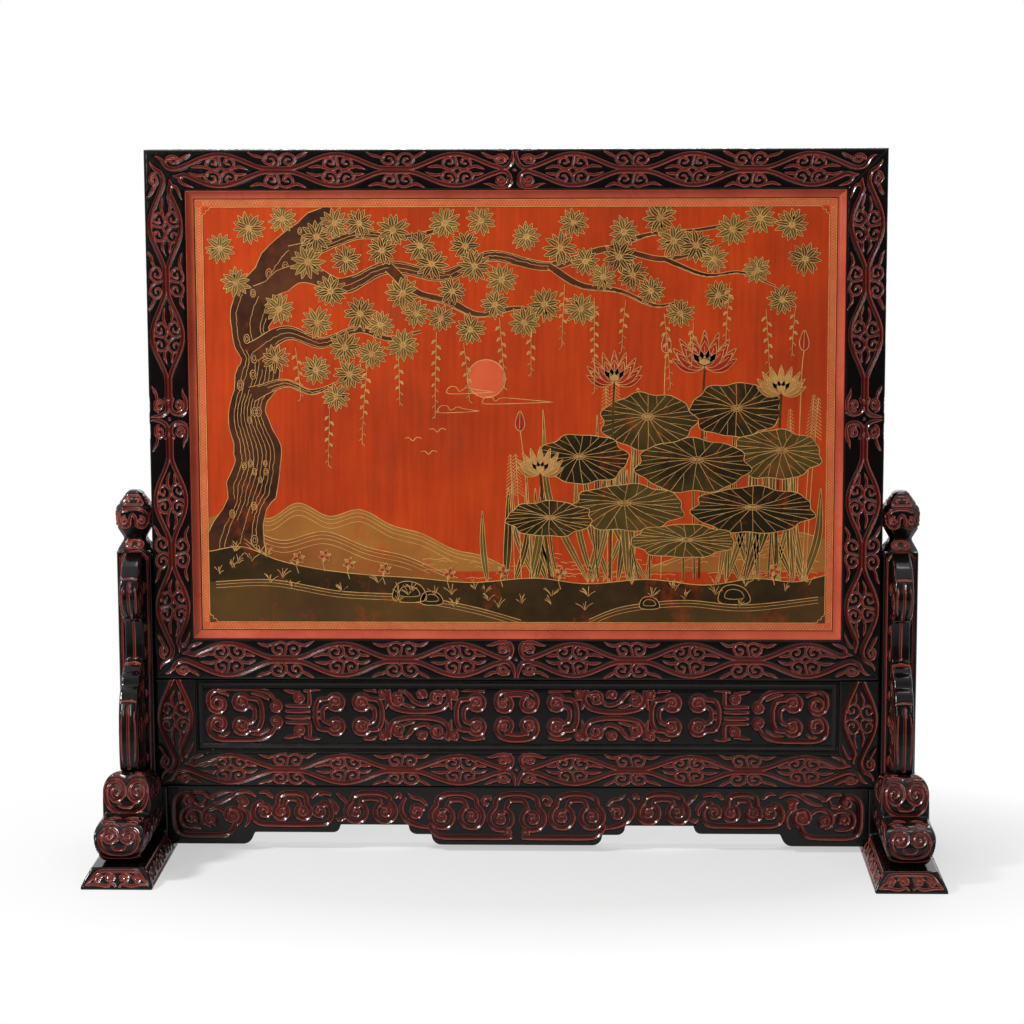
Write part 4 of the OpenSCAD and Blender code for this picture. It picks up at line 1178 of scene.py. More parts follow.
def post_depth(verts, normals):
    """Carving of the left post: wave bands on its faces, heads on the shoulder and the finial."""
    x = verts[:, 0] - POST_X
    y, z = verts[:, 1], verts[:, 2]
    lines = []
    for k, c in enumerate(np.arange(84, 262, 30)):
        unit = [
            volute(3.6, 0, 4.0, start=120, turns=1.4, spin=1, w=1.2),
            stroke([(1.6, 3.6), (-4.5, 8), (-7.5, 15), (-4, 22), (-3.6, 26)], 1.4, 0.9, 0.9),
            leaf([(-6, -4), (-9.5, 2), (-8, 8)], 1.2),
            leaf([(8.5, 5), (9.5, 12), (5, 17)], 1.2)
        ]
        lines += moved(flipped(unit, u=k % 2 == 0), 0, c)
    # Side lines that join in an arch over the spandrel's tip
    lines += both_sides([stroke([
        (12.2, 66), (12.2, 170), (12.2, 262), (11.4, 270), (9, 274.4), (4.6, 276.4), (0, 276.8)
    ], 1.0)])
    # Shoulder: a ring round two curls
    lines += both_sides([
        stroke([(0, 286), (4.6, 285.6), (7.8, 283.2), (6.8, 280.4), (3.4, 279.6), (0, 280.6)], 0.95),
        volute(3.8, 282.8, 1.9, start=120, turns=1.1, spin=-1, w=0.75)
    ])
    # Finial: a ring of two curls under an arch, and hooks in a tapering frame on the upper facet
    lines += both_sides([
        stroke([
            (0, 315.6), (6, 315), (11, 312.6), (13, 308), (12.7, 302), (10.2, 298.9), (5.8, 298.5),
            (3.0, 301), (2.9, 305), (1.8, 308.6), (0, 310)
        ], 1.3),
        volute(7.6, 304.8, 3.7, start=100, turns=1.25, spin=-1, w=1.0),
        stroke([(0, 326.7), (4.4, 326.4), (6.8, 322.8), (8.8, 319.4), (4.6, 318.9), (0, 318.9)], 0.95),
        stroke([(1.4, 323.8), (4.2, 323.6), (5, 321.6), (3.2, 320.9)], 0.75, 1, 0.7)
    ])
    field = Field((-19, 19), (60, 334)).cut(lines, 1.5)
    nx, ny, nz = normals.T
    faces_y = np.abs(ny) > np.abs(nx)
    u = np.where(faces_y, np.where(z > 292, x + FINIAL_SHIFT, x), y)
    seen = (np.abs(nz) < 0.93) & (z > 61)
    tongue = (verts[:, 0] > POST_SHAFT_IN - 0.8) & (z < 276)
    return np.where(seen & ~tongue, field.at(u, z), 0)


def carved_stand():
    """Drums, spandrels, bases and posts, each carved once and mirrored."""
    pair = {"left": (1, 1), "right": (-1, 1)}
    four = {"left_front": (1, 1), "left_rear": (1, -1), "right_front": (-1, 1), "right_rear": (-1, -1)}
    for part, source, sides, depth_of, voxel, soften in (
            ("drum", "left_front", four, drum_depth, 0.85, 12),
            ("spandrel", "left_front", four, spandrel_depth, 0.75, 22),
            ("base", "left", pair, base_depth, 0.9, 4),
            ("post", "left", pair, post_depth, 0.85, 3)):
        targets = {f"{part}_{side}": signs for side, signs in sides.items()}
        carved_set(f"{part}_{source}", targets, depth_of, voxel, soften)


# Picture: a lotus pond under an old tree, in thin painted layers with gold lines

PICTURE_Z = (SIGHT_LOW + SIGHT_HIGH) / 2
FIELD_U, FIELD_V = 277.0, 186.5
FRET, FRET_STEP, FRET_HALF = 7.4, 2.7, 0.26
PAINT_LIFT, PAINT_STEP = 0.03, 0.018
GOLD_HALF = 0.30
STALK = 1.0 / GOLD_HALF
STALK_FOOT, REED_FOOT = -146, -150
HILL_LINES = ((0, 3), (3, 7), (6.5, 12), (11, 18))
BANK_LINES = ((0, 2), (2.6, 2), (5.6, 2))


def loop(points, step=2.0):
    """Smooth closed outline through the points."""
    p = np.array(points, float)
    rounds = zip(np.roll(p, 1, 0), p, np.roll(p, -1, 0), np.roll(p, -2, 0))
    return np.vstack([spline(a, b, c, d, int(np.hypot(*(c - b)) / step)) for a, b, c, d in rounds])


def oval(u, v, ru, rv, count):
    """Points round an oval."""
    return np.array([
        (u + ru * math.cos(t), v + rv * math.sin(t)) for t in np.linspace(0, 2 * math.pi, count + 1)[:-1]
    ])


def sides_of(rows, share=1.0):
    """Both edges of a tapering band of (u, v, half width) rows, at a share of its half width."""
    run = np.gradient(rows[:, :2], axis=0)
    across = np.column_stack([-run[:, 1], run[:, 0]]) / np.maximum(np.hypot(*run.T), 1e-6)[:, None]
    return rows[:, :2] + across * rows[:, 2:] * share, rows[:, :2] - across * rows[:, 2:] * share


def band(points, widths, step=2.5):
    """Rows along a smooth path through the points, with the half widths spread evenly along it."""
    path = through(points, step)
    share = np.linspace(0, 1, len(path))
    return np.column_stack([path, np.interp(share, np.linspace(0, 1, len(widths)), widths)])


class Painting:
    """Painted shapes gathered by paint. Points are measured from the picture's middle. A higher level lies on
    top, and the weight of a line is its width as a share of the usual gold line's."""

    def __init__(self):
        self.sheets = {}
        self.limit = (FIELD_U, FIELD_V)

    def add(self, finish, points, faces, level, tone):
        sheet = self.sheets.setdefault(finish, {"verts": [], "faces": [], "tone": [], "count": 0})
        y = np.full(len(points), BOARD_Y - (PAINT_LIFT + PAINT_STEP * level))
        sheet["verts"].append(np.column_stack([points[:, 0], y, points[:, 1] + PICTURE_Z]))
        sheet["faces"].append(np.asarray(faces) + sheet["count"])
        sheet["tone"].append(np.broadcast_to(tone, len(points)))
        sheet["count"] += len(points)

    def fill(self, finish, outline, level, tone=0.5):
        outline = np.clip(outline, (-FIELD_U, -FIELD_V), (FIELD_U, FIELD_V))
        faces = tessellate_polygon([[Vector((u, v, 0)) for u, v in outline]])
        self.add(finish, outline, faces, level, tone)

    def line(self, path, level, weight=1.0, finish="gold", tone=0.5, closed=False):
        """A ribbon along the path, left out where the path leaves the field."""
        path = np.asarray(path, float)[:, :2]
        if closed:
            path = np.vstack([path, path[:1]])
        n = len(path)
        if n < 2:
            return
        left, right = sides_of(np.column_stack([path, np.full(n, GOLD_HALF * weight)]))
        inside = (np.abs(path) <= self.limit).all(1)
        i = np.arange(n - 1)[inside[:-1] & inside[1:]]
        if not len(i):
            return
        lower, upper = np.column_stack([i, i + 1, i + n]), np.column_stack([i + 1, i + n + 1, i + n])
        self.add(finish, np.vstack([left, right]), np.vstack([lower, upper]), level + 0.5, tone)

    def shape(self, finish, outline, level, tone=0.5, weight=1.0):
        """A filled shape with a gold outline."""
        self.fill(finish, outline, level, tone)
        self.line(outline, level, weight, closed=True)


picture = Painting()


def blade(base, tip, half, bend, level, tone, finish="olive", rib=True):
    """A pointed leaf from base to tip, bent sideways, with a gold edge and midrib."""
    base, tip = np.array(base, float), np.array(tip, float)
    side = np.array([-(tip - base)[1], (tip - base)[0]]) * bend
    path = through([base, base + (tip - base) * 0.5 + side, tip], 2.2)
    width = half * np.sin(np.pi * np.linspace(0, 1, len(path))**0.75) ** 0.8 + 0.12
    left, right = sides_of(np.column_stack([path, width]))
    picture.shape(finish, np.vstack([left, right[::-1]]), level, tone, 0.85)
    if rib:
        picture.line(path[: int(len(path) * 0.9)], level, 0.7)


def leaf_star(u, v, r, level):
    """A round spray of pointed leaves."""
    start = rng.uniform(0, 360)
    tone = rng.uniform(0.25, 0.9)
    for k in range(13):
        a = math.radians(start + k * 360 / 13 + rng.uniform(-5, 5))
        reach = r * rng.uniform(0.88, 1.05)
        near, far = ((u + math.cos(a) * out, v + math.sin(a) * out) for out in (r * 0.1, reach))
        bend = rng.uniform(-0.06, 0.06)
        blade(near, far, r * 0.15, bend, level + (k % 2) * 0.8, tone + rng.uniform(-0.12, 0.12))
    picture.fill("ochre", oval(u, v, 1.3, 1.3, 8), level + 2, 0.7)


def limb(points, widths, level, tone=0.4, grain=3):
    """A branch or trunk with gold edges and lines along its grain."""
    rows = band(points, widths)
    knots = np.arange(0, len(rows) + 5, 5)
    rows[:, 2] *= np.interp(np.arange(len(rows)), knots, rng.uniform(0.82, 1.16, len(knots)))
    left, right = sides_of(rows)
    picture.fill("bark", np.vstack([left, right[::-1]]), level, tone)
    picture.line(left, level, 0.9)
    picture.line(right, level, 0.9)
    for share in np.linspace(-0.7, 0.7, grain):
        path = sides_of(rows, share)[0] + rng.normal(0, 0.25, (len(rows), 2))
        start = rng.integers(0, max(1, len(path) // 4))
        picture.line(path[start: start + int(len(path) * rng.uniform(0.4, 0.75))], level, 0.7)
    return rows


def old_tree():
    """A bent trunk with boughs that reach over the water, leaves and hanging sprays."""
    trunk = limb([
        (-254, -152), (-252, -112), (-240, -74), (-231, -36), (-240, 4), (-229, 44), (-236, 84),
        (-220, 122), (-196, 154), (-160, 184)
    ], [40, 26, 20, 21, 19, 17, 20, 17, 13, 9], 4, 0.35, 9)
    # Knots and curling bark
    for k in range(26):
        row = trunk[rng.integers(4, len(trunk) - 4)]
        across = rng.uniform(-0.7, 0.7) * row[2]
        u, v, r = row[0] + across, row[1], rng.uniform(2.2, 5.2)
        knot = oval(u, v, r * 0.62, r, 14)
        picture.shape("bark", knot, 5, rng.uniform(0.0, 0.9), 0.8)
        picture.line((knot - (u, v)) * 0.5 + (u, v), 5, 0.7, closed=True)
    # Roots
    for points, widths in (
            ([(-250, -118), (-226, -134), (-200, -141), (-176, -152)], [11, 7, 4, 1]),
            ([(-262, -120), (-240, -140), (-224, -156)], [11, 6, 1.5])):
        limb(points, widths, 6, 0.5, 3)
    # Branches from the trunk outwards
    boughs = [
        ([
            (-228, 108), (-190, 128), (-152, 117), (-112, 133), (-62, 126), (-22, 143), (30, 134),
            (82, 149), (132, 140), (182, 152)
        ], [10, 8, 6, 5.4, 4.6, 4, 3.2, 2.6, 2, 1]),
        ([
            (-234, 58), (-204, 75), (-172, 66), (-140, 78), (-112, 70), (-84, 76)
        ], [8, 6, 4.4, 3.4, 2.2, 1]),
        ([
            (-112, 133), (-88, 111), (-60, 103), (-32, 91), (4, 97), (34, 88)
        ], [4.6, 3.6, 3, 2.4, 1.8, 0.9]),
        ([(30, 134), (58, 117), (92, 112), (124, 99), (150, 103)], [3, 2.4, 2, 1.5, 0.8]),
        ([(-200, 146), (-170, 152), (-138, 162), (-96, 160), (-60, 168)], [7, 5, 3.6, 2.2, 1]),
        ([(-236, 20), (-206, 30), (-182, 22), (-160, 30)], [6, 4, 2.6, 0.9]),
        ([(82, 149), (120, 162), (164, 166), (206, 174)], [2.4, 1.9, 1.4, 0.8]),
        ([(132, 140), (168, 126), (200, 128), (230, 116)], [2.2, 1.7, 1.2, 0.7])
    ]
    for i, (points, widths) in enumerate(boughs):
        limb(points, widths, 7 + 0.4 * i, rng.uniform(0.2, 0.6), 3 if widths[0] > 5 else 1)
    stars = [
        (-262, 150), (-236, 168), (-206, 176), (-176, 160), (-184, 138), (-150, 140), (-138, 172),
        (-118, 148), (-108, 166), (-84, 152), (-74, 136), (-62, 172), (-44, 152), (-36, 134), (-88, 92),
        (-66, 88), (-40, 78), (-18, 100), (8, 84), (26, 100), (-138, 92), (-120, 82), (-100, 64),
        (-152, 62), (-128, 56), (-176, 84), (-178, 42), (-160, 18), (-148, 38), (40, 150), (62, 138),
        (78, 124), (104, 126), (120, 112), (146, 92), (96, 164), (128, 176), (160, 152), (176, 140),
        (192, 166), (216, 176), (214, 130), (236, 104), (-210, 96), (-214, 52), (-248, 120), (-12, 122),
        (10, 160), (-30, 174), (52, 172), (58, 96), (92, 142), (140, 156), (256, 140), (244, 170),
        (-160, 172), (-100, 110), (-164, 112), (-56, 112), (180, 108)
    ]
    for i, (u, v) in enumerate(stars):
        leaf_star(u, v, rng.uniform(12.5, 16.0), 11 + (i % 4) * 1.9)
    # Hanging sprays
    for u, v, fall in (
        (-196, 62, 46), (-166, 8, 52), (-132, 46, 70), (-104, 54, 44), (-70, 76, 78), (-46, 66, 52),
        (-14, 88, 62), (14, 76, 40), (44, 118, 56), (70, 106, 84), (98, 104, 46), (132, 92, 66),
        (158, 84, 40), (190, 120, 58), (222, 96, 70), (248, 98, 44)
    ):
        sway = rng.uniform(-6, 6)
        path = through([(u, v), (u + sway * 0.6, v - fall * 0.5), (u + sway, v - fall)], 2.4)
        picture.line(path, 19, 0.8)
        for k in range(3, len(path), 2):
            side = 1 if k % 4 == 1 else -1
            size = 5.2 * (1 - 0.45 * k / len(path))
            tip = path[k] + np.array([side * size * 0.85, -size * 0.75])
            blade(path[k], tip, 0.95, 0.12 * side, 19, 0.6, "ochre", rib=False)


def lotus_leaf(u, v, ru, rv, level, tone, foot):
    """A broad leaf seen at a slant, with a waved rim, gold veins and a stalk down to foot."""
    stalk = through([(u, v), (u + (foot - u) * 0.3, v - 30), (foot, STALK_FOOT)], 3.0)
    picture.line(stalk, level - 1.2, STALK, "olive", 0.3)
    for side in (-0.9, 0.9):
        picture.line(stalk + (side, 0), level - 1.0, 0.6)
    count = 64
    t = np.linspace(0, 2 * math.pi, count, endpoint=False)
    waves = 1 + 0.045 * np.sin(7 * t + rng.uniform(0, 6)) + 0.03 * np.sin(11 * t + rng.uniform(0, 6))
    rim = np.column_stack([u + ru * waves * np.cos(t), v + rv * waves * np.sin(t)])
    picture.shape("olive", rim, level, tone, 1.1)
    heart = np.array([u + ru * rng.uniform(-0.15, 0.15), v + rv * rng.uniform(0.05, 0.3)])
    for k in range(0, count, 4):
        end = rim[k] * 0.97 + heart * 0.03
        mid = (heart + end) / 2 + rng.normal(0, 0.5, 2)
        picture.line(through([heart, mid, end], 3.0), level, 0.7)
        fork = heart + (rim[(k + 2) % count] - heart) * 0.97
        picture.line(through([mid, (mid + fork) / 2 + rng.normal(0, 0.3, 2), fork], 3.0), level, 0.5)
    picture.line((rim - heart) * 0.12 + heart, level, 0.7, closed=True)


def lotus_flower(u, v, size, level, foot, finish):
    """An open flower of pointed petals on a stalk."""
    stalk = through([(u, v - size * 0.2), (u + (foot - u) * 0.35, v - 40), (foot, STALK_FOOT)], 3.0)
    picture.line(stalk, level - 4, 0.85 * STALK, "olive", 0.4)
    picture.line(stalk + (0.7, 0), level - 4, 0.6)
    rounds = ((9, 1.0, 0.25, 200), (7, 0.86, 0.3, 168), (5, 0.66, 0.3, 120))
    for i, (count, reach, width, spread) in enumerate(rounds):
        for k in sorted(range(count), key=lambda k: -abs(k - count // 2)):
            a = math.radians(90 + (k / (count - 1) - 0.5) * spread)
            tip = (u + size * reach * math.cos(a), v + size * reach * (0.25 + 0.75 * math.sin(a)))
            half, bend = size * width * 0.55, 0.04 * (k - count // 2)
            blade((u, v - size * 0.1), tip, half, bend, level + i * 0.7, 0.25 + 0.2 * i, finish)
    cup = loop([(u - size * 0.16, v + 1), (u, v - 1.6), (u + size * 0.16, v + 1), (u, v + 3)], 1.2)
    picture.shape("ochre", cup, level + 2.2, 0.8)


def reeds(u0, u1, count, low, high, level):
    """Upright blades, with plumes between them."""
    for k in range(count):
        u = rng.uniform(u0, u1)
        height = rng.uniform(low, high)
        lean = rng.uniform(-0.3, 0.3)
        tip = (u + height * lean, REED_FOOT + height)
        half = rng.uniform(2.2, 3.6)
        blade((u, REED_FOOT), tip, half, -lean * 0.35, level + (k % 5) * 0.6, rng.uniform(0.3, 0.95))
    for k in range(max(2, count // 5)):
        u, lean = rng.uniform(u0, u1), rng.uniform(-14, 14)
        top = REED_FOOT + high * rng.uniform(1.0, 1.16)
        stalk = through([(u, REED_FOOT), (u + lean * 0.4, (top + REED_FOOT) / 2), (u + lean, top)], 3.0)
        picture.line(stalk, level + 3, 1.1)
        for j, at in enumerate(stalk[:-13:-1]):
            for side in (-1, 1):
                picture.line([at, at + (side * (2 + j * 0.34), -2.5 - j * 0.2)], level + 3, 0.8)


def slope(finish, points, feet, level, tone, lines, line_level, weight):
    """Ground under a smooth crest, down to its feet. Each gold line is given by its drop below the crest
    and the number of points by which it stops short at both ends."""
    crest = through(points, 3.0)
    picture.fill(finish, np.vstack([crest, feet]), level, tone)
    for drop, short in lines:
        picture.line(crest[short:-short] - (0, drop), line_level, weight if drop else 1.0)


def pond():
    """Far hills, water lines, reeds and lotus."""
    # Far hills
    for points, tone in (
        ([
            (-277, -92), (-250, -84), (-222, -92), (-196, -78), (-168, -90), (-140, -84), (-112, -98),
            (-84, -106), (-56, -120), (-30, -126), (-2, -139.5), (-2, -140), (-277, -140)
        ], 0.85),
        ([
            (-277, -108), (-244, -102), (-210, -112), (-172, -104), (-134, -118), (-100, -126),
            (-72, -138), (-44, -149.5), (-44, -150), (-277, -150)
        ], 0.5),
        ([
            (112, -139.5), (146, -126), (182, -112), (214, -116), (246, -104), (277, -110), (277, -140),
            (112, -140)
        ], 0.7)
    ):
        slope("hill", points[:-2], points[-2:], 2 - tone, tone, HILL_LINES, line_level=2, weight=0.7)
    # Water
    for k in range(64):
        u, v = rng.uniform(-90, 270), rng.uniform(-150, -122)
        span = rng.uniform(8, 26)
        ripple = np.array([(0, 0), (0.25, 1.1), (0.5, 0), (0.75, 1.1), (1, 0)]) * (span, 1) + (u, v)
        picture.line(through(ripple, 2.0), 3, 0.8)
    for u0, u1, count, low, high in ((62, 118, 15, 96, 168), (176, 262, 20, 84, 150), (-30, 34, 10, 54, 104)):
        reeds(u0, u1, count, low, high, 5)
    for args in (
        (196, 6, 40, 24, 11, 0.15, 190), (118, -4, 42, 25, 12, 0.3, 120),
        (232, -34, 40, 22, 13, 0.45, 226), (60, -38, 40, 22, 14, 0.12, 74),
        (158, -44, 50, 24, 15.2, 0.2, 160), (100, -82, 50, 21, 16.4, 0.38, 110),
        (212, -84, 54, 21, 17.2, 0.1, 204), (30, -92, 38, 16, 18, 0.28, 38),
        (150, -112, 46, 15, 19, 0.5, 150)
    ):
        lotus_leaf(*args)
    for args in (
            (88, 34, 25, 17, 84, "red"), (168, 48, 29, 14, 164, "red"),
            (236, 24, 22, 16, 232, "ochre"), (22, -48, 21, 20, 30, "ochre")):
        lotus_flower(*args)
    for u, v, foot in ((134, 62, 130), (4, -8, 14), (256, 64, 250)):
        bud = loop([
            (u, v + 13), (u - 4.2, v + 3), (u - 2.4, v - 4), (u + 2.4, v - 4), (u + 4.2, v + 3)
        ], 1.4)
        stalk = through([(u, v - 3), (u + (foot - u) * 0.4, v - 40), (foot, STALK_FOOT)], 3.0)
        picture.line(stalk, 9, 1.3)
        picture.shape("red", bud, 18, 0.4)
        picture.line([(u, v + 12), (u - 0.6, v - 3)], 18, 0.8)


def bank():
    """The near bank with tufts, stones and small flowers."""
    crest = through([
        (-277, -122), (-246, -118), (-214, -130), (-178, -138), (-136, -143), (-90, -146), (-40, -150),
        (16, -146), (64, -151), (118, -147), (170, -152), (214, -146), (250, -149), (277, -143)
    ], 3.0)
    picture.fill("bank", np.vstack([crest, [(FIELD_U, -FIELD_V), (-FIELD_U, -FIELD_V)]]), 22, 0.3)
    picture.line(crest, 22, 1.2)
    for points, tone in (
        ([
            (-277, -150), (-220, -148), (-160, -158), (-96, -162), (-40, -172), (10, -186), (-277, -186)
        ], 0.75),
        ([(60, -186), (96, -172), (150, -166), (206, -170), (277, -162), (277, -186)], 0.6)
    ):
        slope("bank", points[:-1], points[-1:], 23, tone, BANK_LINES, line_level=23, weight=0.65)
    for k in range(42):
        i = rng.integers(3, len(crest) - 3)
        u, v = crest[i] - (0, rng.uniform(-1, 26))
        for a in rng.uniform(35, 145, rng.integers(4, 8)):
            r = rng.uniform(5, 11)
            tip = (u + r * math.cos(math.radians(a)), v + r * math.sin(math.radians(a)))
            middle = ((u * 1.2 + tip[0] * 0.8) / 2, (v * 0.8 + tip[1] * 1.2) / 2)
            picture.line(through([(u, v), middle, tip], 2.0), 24, 0.8)
    for u, v in (
        (-196, -128), (-150, -133), (-118, -138), (-60, -142), (-12, -140), (40, -142), (-172, -126),
        (232, -138)
    ):
        picture.line(through([(u, v - 14), (u - 2, v - 6), (u, v)], 2.0), 24)
        for k in range(6):
            a = math.radians(60 * k + 15)
            tip = (u + 6 * math.cos(a), v + 6 * math.sin(a))
            blade((u, v), tip, 1.7, 0.0, 24.4, 0.5, "red" if k % 2 else "ochre", rib=False)
    # Stones
    for u, v, r in ((-96, -158, 15), (-76, -164, 10), (196, -160, 14), (120, -168, 9)):
        stone = loop([
            (u - r, v - r * 0.5), (u - r * 0.8, v + r * 0.35), (u - r * 0.1, v + r * 0.6),
            (u + r * 0.7, v + r * 0.3), (u + r, v - r * 0.5), (u, v - r * 0.7)
        ])
        picture.shape("olive", stone, 24, 0.05)
        picture.line((stone - (u, v)) * (0.6, 0.5) + (u, v), 24, 0.8, closed=True)


def moon_and_cloud():
    """The moon's disc, three clouds of two lines each, and birds."""
    disc = oval(-26, 34, 17, 17, 48)
    picture.fill("moon", disc, 1, 0.5)
    picture.line(disc, 1, 1.3, closed=True)
    for u, v, span in ((-62, 22, 44), (-30, 13, 64), (-70, 5, 38)):
        curl = [(0, 0), (3, 4.4), (9, 4.6), (12, 0.6), (18, 3.8), (span * 0.6, 2.4), (span, 0)]
        under = [(0, 0), (4, -1.6), (span * 0.5, -1.2), (span, 0)]
        picture.line(through(np.array(curl) + (u, v), 1.6), 2)
        picture.line(through(np.array(under) + (u, v), 1.8), 2)
    wings = np.array([(-7, 2.6), (-3, 3), (0, 0), (3.4, 3.4), (8, 2.4)])
    for place in ((-92, -22), (-70, -14), (-78, -34)):
        picture.line(through(wings + place, 1.4), 2, 1.1)


def border():
    """Fret of crossing gold lines round the field, and the field's cusped corners."""
    wide, high = FIELD_U + FRET, FIELD_V + FRET
    picture.limit = (wide + 1, high + 1)
    # Four strips of lighter ground under the fret
    top = [(-wide, FIELD_V), (wide, FIELD_V), (wide, high), (-wide, high)]
    right = [(FIELD_U, -FIELD_V), (wide, -FIELD_V), (wide, FIELD_V), (FIELD_U, FIELD_V)]
    for strip, mirror in ((top, (1, -1)), (right, (-1, 1))):
        for signs in (mirror, (1, 1)):
            picture.add("moon", np.array(strip) * signs, [(0, 1, 2), (0, 2, 3)], 0, 0.5)
    steps_in = [(9, 0), (6.4, 0.8), (5.6, 3.0), (3.0, 3.0), (3.0, 5.6), (0.8, 6.4), (0, 9)]
    corner = through(np.array([FIELD_U, FIELD_V]) - steps_in, 0.9)
    edge = np.vstack([corner, corner[::-1] * (1, -1), corner * (-1, -1), corner[::-1] * (-1, 1)])
    picture.line(edge, 25, closed=True)
    outer = np.array([(wide, high), (wide, -high), (-wide, -high), (-wide, high)])
    for inset, half, finish in ((0.0, 0.5, "bank"), (1.2, 0.22, "gold")):
        rect = outer - np.sign(outer) * inset
        for a, b in zip(rect, np.roll(rect, -1, axis=0)):
            picture.line([a, b], 25, half / GOLD_HALF, finish, 0.4)
    inner, far = 1.0, FRET - 2.0
    for axis, (length, place) in enumerate(((FIELD_U, FIELD_V), (FIELD_V, FIELD_U))):
        steps = 2 * int(length / FRET_STEP)
        along = np.linspace(-length, length, steps + 1)
        for side in (-1, 1):
            for first in (0, 1):
                away = side * (place + np.where(np.arange(steps + 1) % 2 == first, inner, far))
                path = np.column_stack([away, along] if axis else [along, away])
                picture.line(path, 25 + 0.3 * first, FRET_HALF / GOLD_HALF)


def paint():
    """Paints the picture, and makes one piece of each paint."""
    moon_and_cloud()
    old_tree()
    pond()
    bank()
    border()
    for paint_name, sheet in picture.sheets.items():
        verts, faces = np.vstack(sheet["verts"]), np.vstack(sheet["faces"])
        a, b, c = verts[faces].swapaxes(0, 1)
        backward = np.cross(b - a, c - a)[:, 1] > 0
        faces[backward] = faces[backward][:, ::-1]
        tones = np.concatenate(sheet["tone"])
        made = mesh_object(f"picture_{paint_name}", verts, [faces], tones, flat=(0,), closed=False)
        dress(made, PAINTS[paint_name], "screen", "picture_lacquer")


def cad_materials():
    """The CAD nodes that stay as they are get their finish."""
    for name, finish, slot in (
            ("sight_moulding_front", MOULDING_RED, "red_moulding"),
            ("sight_moulding_rear", MOULDING_BLACK, "black_moulding"),
            ("waist_moulding_front", MOULDING_BLACK, "black_moulding"),
            ("waist_moulding_rear", MOULDING_BLACK, "black_moulding"),
            ("picture_panel", GROUND, "picture_lacquer"),
            ("back_panel", BACK_BLACK, "back_lacquer"),
            ("stand_crossrail", MOULDING_BLACK, "carved_lacquer"),
            ("panel_battens", WOOD, "core_wood"),
            ("stand_dowels", WOOD, "core_wood"),
            ("frame_pegs", WOOD, "core_wood")):
        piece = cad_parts[name]
        piece.data.materials.clear()
        piece.data.materials.append(finish)


# Floor, world, lamps and camera

AMBIENT = 0.10
LAMPS = [
    ("key", (-1.95, -1.15, 1.95), (0.45, 0.45), 105.0),
    ("front_left", (-1.1, -2.2, 0.9), (0.35, 0.5), 14.0),
    ("fill", (1.2, -2.1, 1.2), (0.6, 0.6), 6.0),
    ("top", (0.1, 0.3, 2.3), (1.4, 0.4), 12.0),
    ("rim", (0.2, 1.8, 1.6), (1.4, 0.8), 30.0),
]
LAMP_TARGET = (0, 0, 0.3)
CAMERA_LENS = 98.98
CAMERA_AT = (0.0749, -2.5062, 0.6806)
CAMERA_TO = (-0.0033, -0.017, 0.3129)
CAMERA_ROLL = -0.2


def floor():
    """Pale floor that fades to white well away from the object, darker in front where only gloss shows it."""
    s = 30.0
    mesh = bpy.data.meshes.new("floor")
    mesh.from_pydata([(-s, -s, 0), (s, -s, 0), (s, s, 0), (-s, s, 0)], [], [(0, 1, 2, 3)])
    made = bpy.data.objects.new("floor", mesh)
    bpy.context.scene.collection.objects.link(made)
    finish, tree, shader = material(
        "floor", Base_Color=(0.55, 0.55, 0.55, 1), Roughness=0.7, Specular_IOR_Level=0.1
    )
    coords = tree.nodes.new("ShaderNodeTexCoord").outputs["Object"]
    ray = tree.nodes.new("ShaderNodeLightPath").outputs
    spread = node(tree, "ShaderNodeVectorMath", operation="MULTIPLY")
    spread.inputs[1].default_value = (1.0, 1.8, 0.0)
    feed(tree, spread.inputs[0], coords)
    length = node(tree, "ShaderNodeVectorMath", operation="LENGTH")
    feed(tree, length.inputs[0], spread.outputs["Vector"])
    far = map_range(tree, length.outputs["Value"], 0.34, 0.60, 0.52, 1.0)
    place = tree.nodes.new("ShaderNodeSeparateXYZ")
    feed(tree, place.inputs[0], coords)
    front = map_range(tree, place.outputs["Y"], -1.1, -0.2, 0.05, 0.8)
    white = tree.nodes.new("ShaderNodeEmission")
    feed(tree, white.inputs["Strength"], maths(tree, "MAXIMUM", front, ray["Is Camera Ray"]))
    seen = maths(tree, "ADD", ray["Is Camera Ray"], ray["Is Glossy Ray"], clamp=True)
    seen = maths(tree, "ADD", seen, ray["Is Transmission Ray"], clamp=True)
    blend = tree.nodes.new("ShaderNodeMixShader")
    feed(tree, blend.inputs["Fac"], maths(tree, "MULTIPLY", far, seen))
    feed(tree, blend.inputs[1], shader.outputs["BSDF"])
    feed(tree, blend.inputs[2], white.outputs["Emission"])
    feed(tree, tree.nodes["Material Output"].inputs["Surface"], blend.outputs["Shader"])
    mesh.materials.append(finish)


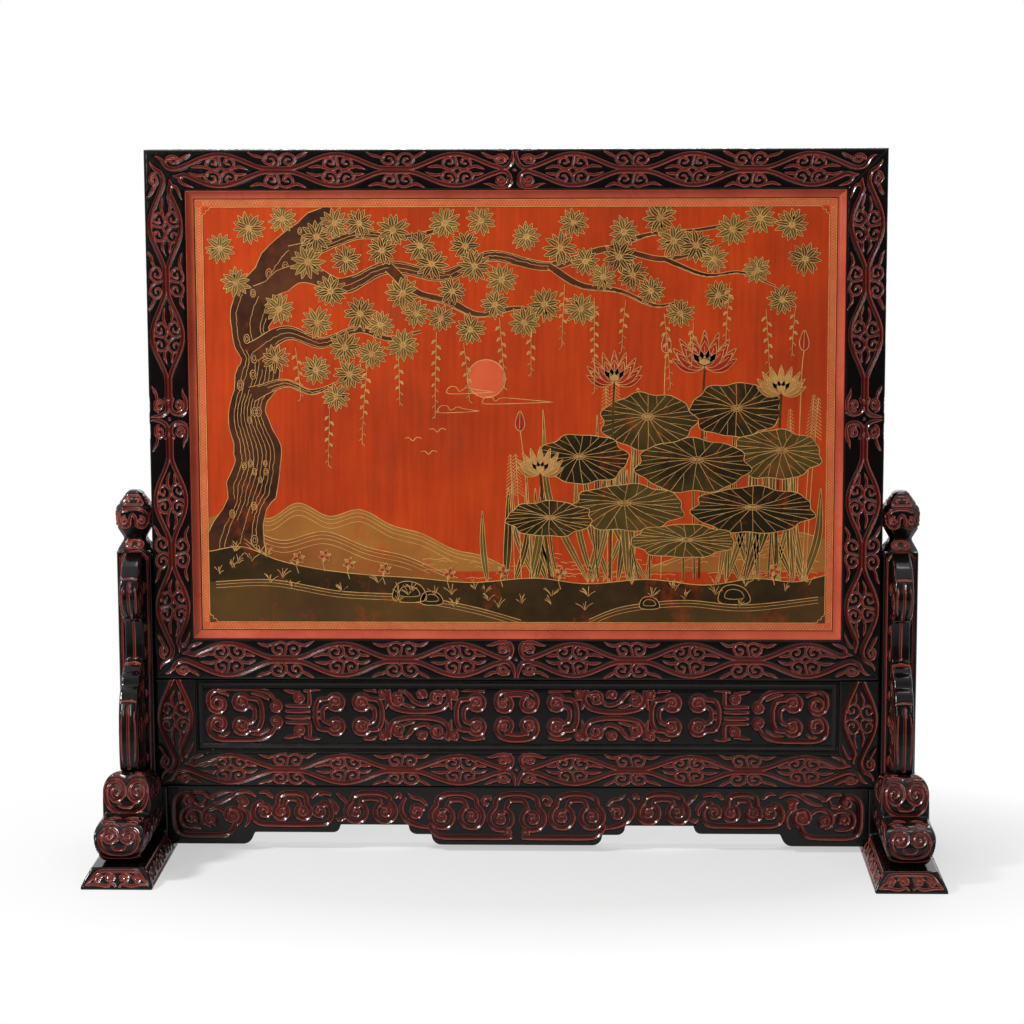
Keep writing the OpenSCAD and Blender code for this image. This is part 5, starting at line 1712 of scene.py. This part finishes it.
def studio():
    """World: white to the camera, faint as light, and in gloss bright behind and above but dark in front."""
    world = bpy.data.worlds.new("studio")
    bpy.context.scene.world = world
    world.use_nodes = True
    tree = world.node_tree
    back = tree.nodes["Background"]
    back.inputs["Color"].default_value = (1, 1, 1, 1)
    place = tree.nodes.new("ShaderNodeSeparateXYZ")
    feed(tree, place.inputs[0], tree.nodes.new("ShaderNodeTexCoord").outputs["Generated"])
    lean = maths(tree, "ADD", place.outputs["Y"], place.outputs["Z"])
    behind = map_range(tree, lean, -0.4, 0.5, 0.05, 1.0)
    ray = tree.nodes.new("ShaderNodeLightPath").outputs
    bounced = maths(tree, "ADD", ray["Is Glossy Ray"], ray["Is Transmission Ray"], clamp=True)
    seen = maths(tree, "ADD", ray["Is Camera Ray"], maths(tree, "MULTIPLY", bounced, behind), clamp=True)
    feed(tree, back.inputs["Strength"], maths(tree, "MULTIPLY_ADD", seen, 1.0 - AMBIENT, AMBIENT))


def lamps():
    """Area lamps, all turned to the object."""
    for name, place, size, power in LAMPS:
        lamp = bpy.data.lights.new(name, "AREA")
        lamp.shape, lamp.energy = "RECTANGLE", power
        lamp.size, lamp.size_y = size
        rig = bpy.data.objects.new(name, lamp)
        rig.location = place
        rig.rotation_euler = (Vector(LAMP_TARGET) - Vector(place)).to_track_quat("-Z", "Y").to_euler()
        bpy.context.scene.collection.objects.link(rig)


def camera():
    """The photo's camera, as it was fitted."""
    lens = bpy.data.cameras.new("camera")
    lens.lens, lens.sensor_width = CAMERA_LENS, 36.0
    rig = bpy.data.objects.new("camera", lens)
    eye, target = Vector(CAMERA_AT), Vector(CAMERA_TO)
    look = (target - eye).to_track_quat("-Z", "Y").to_matrix().to_4x4()
    rig.matrix_world = Matrix.Translation(eye) @ look @ Matrix.Rotation(math.radians(CAMERA_ROLL), 4, "Z")
    bpy.context.scene.collection.objects.link(rig)
    bpy.context.scene.camera = rig


frame_members()
stand_members()
aprons()
carved_stand()
paint()
cad_materials()
bpy.context.scene.view_settings.view_transform = "Standard"
floor()
studio()
lamps()
camera()
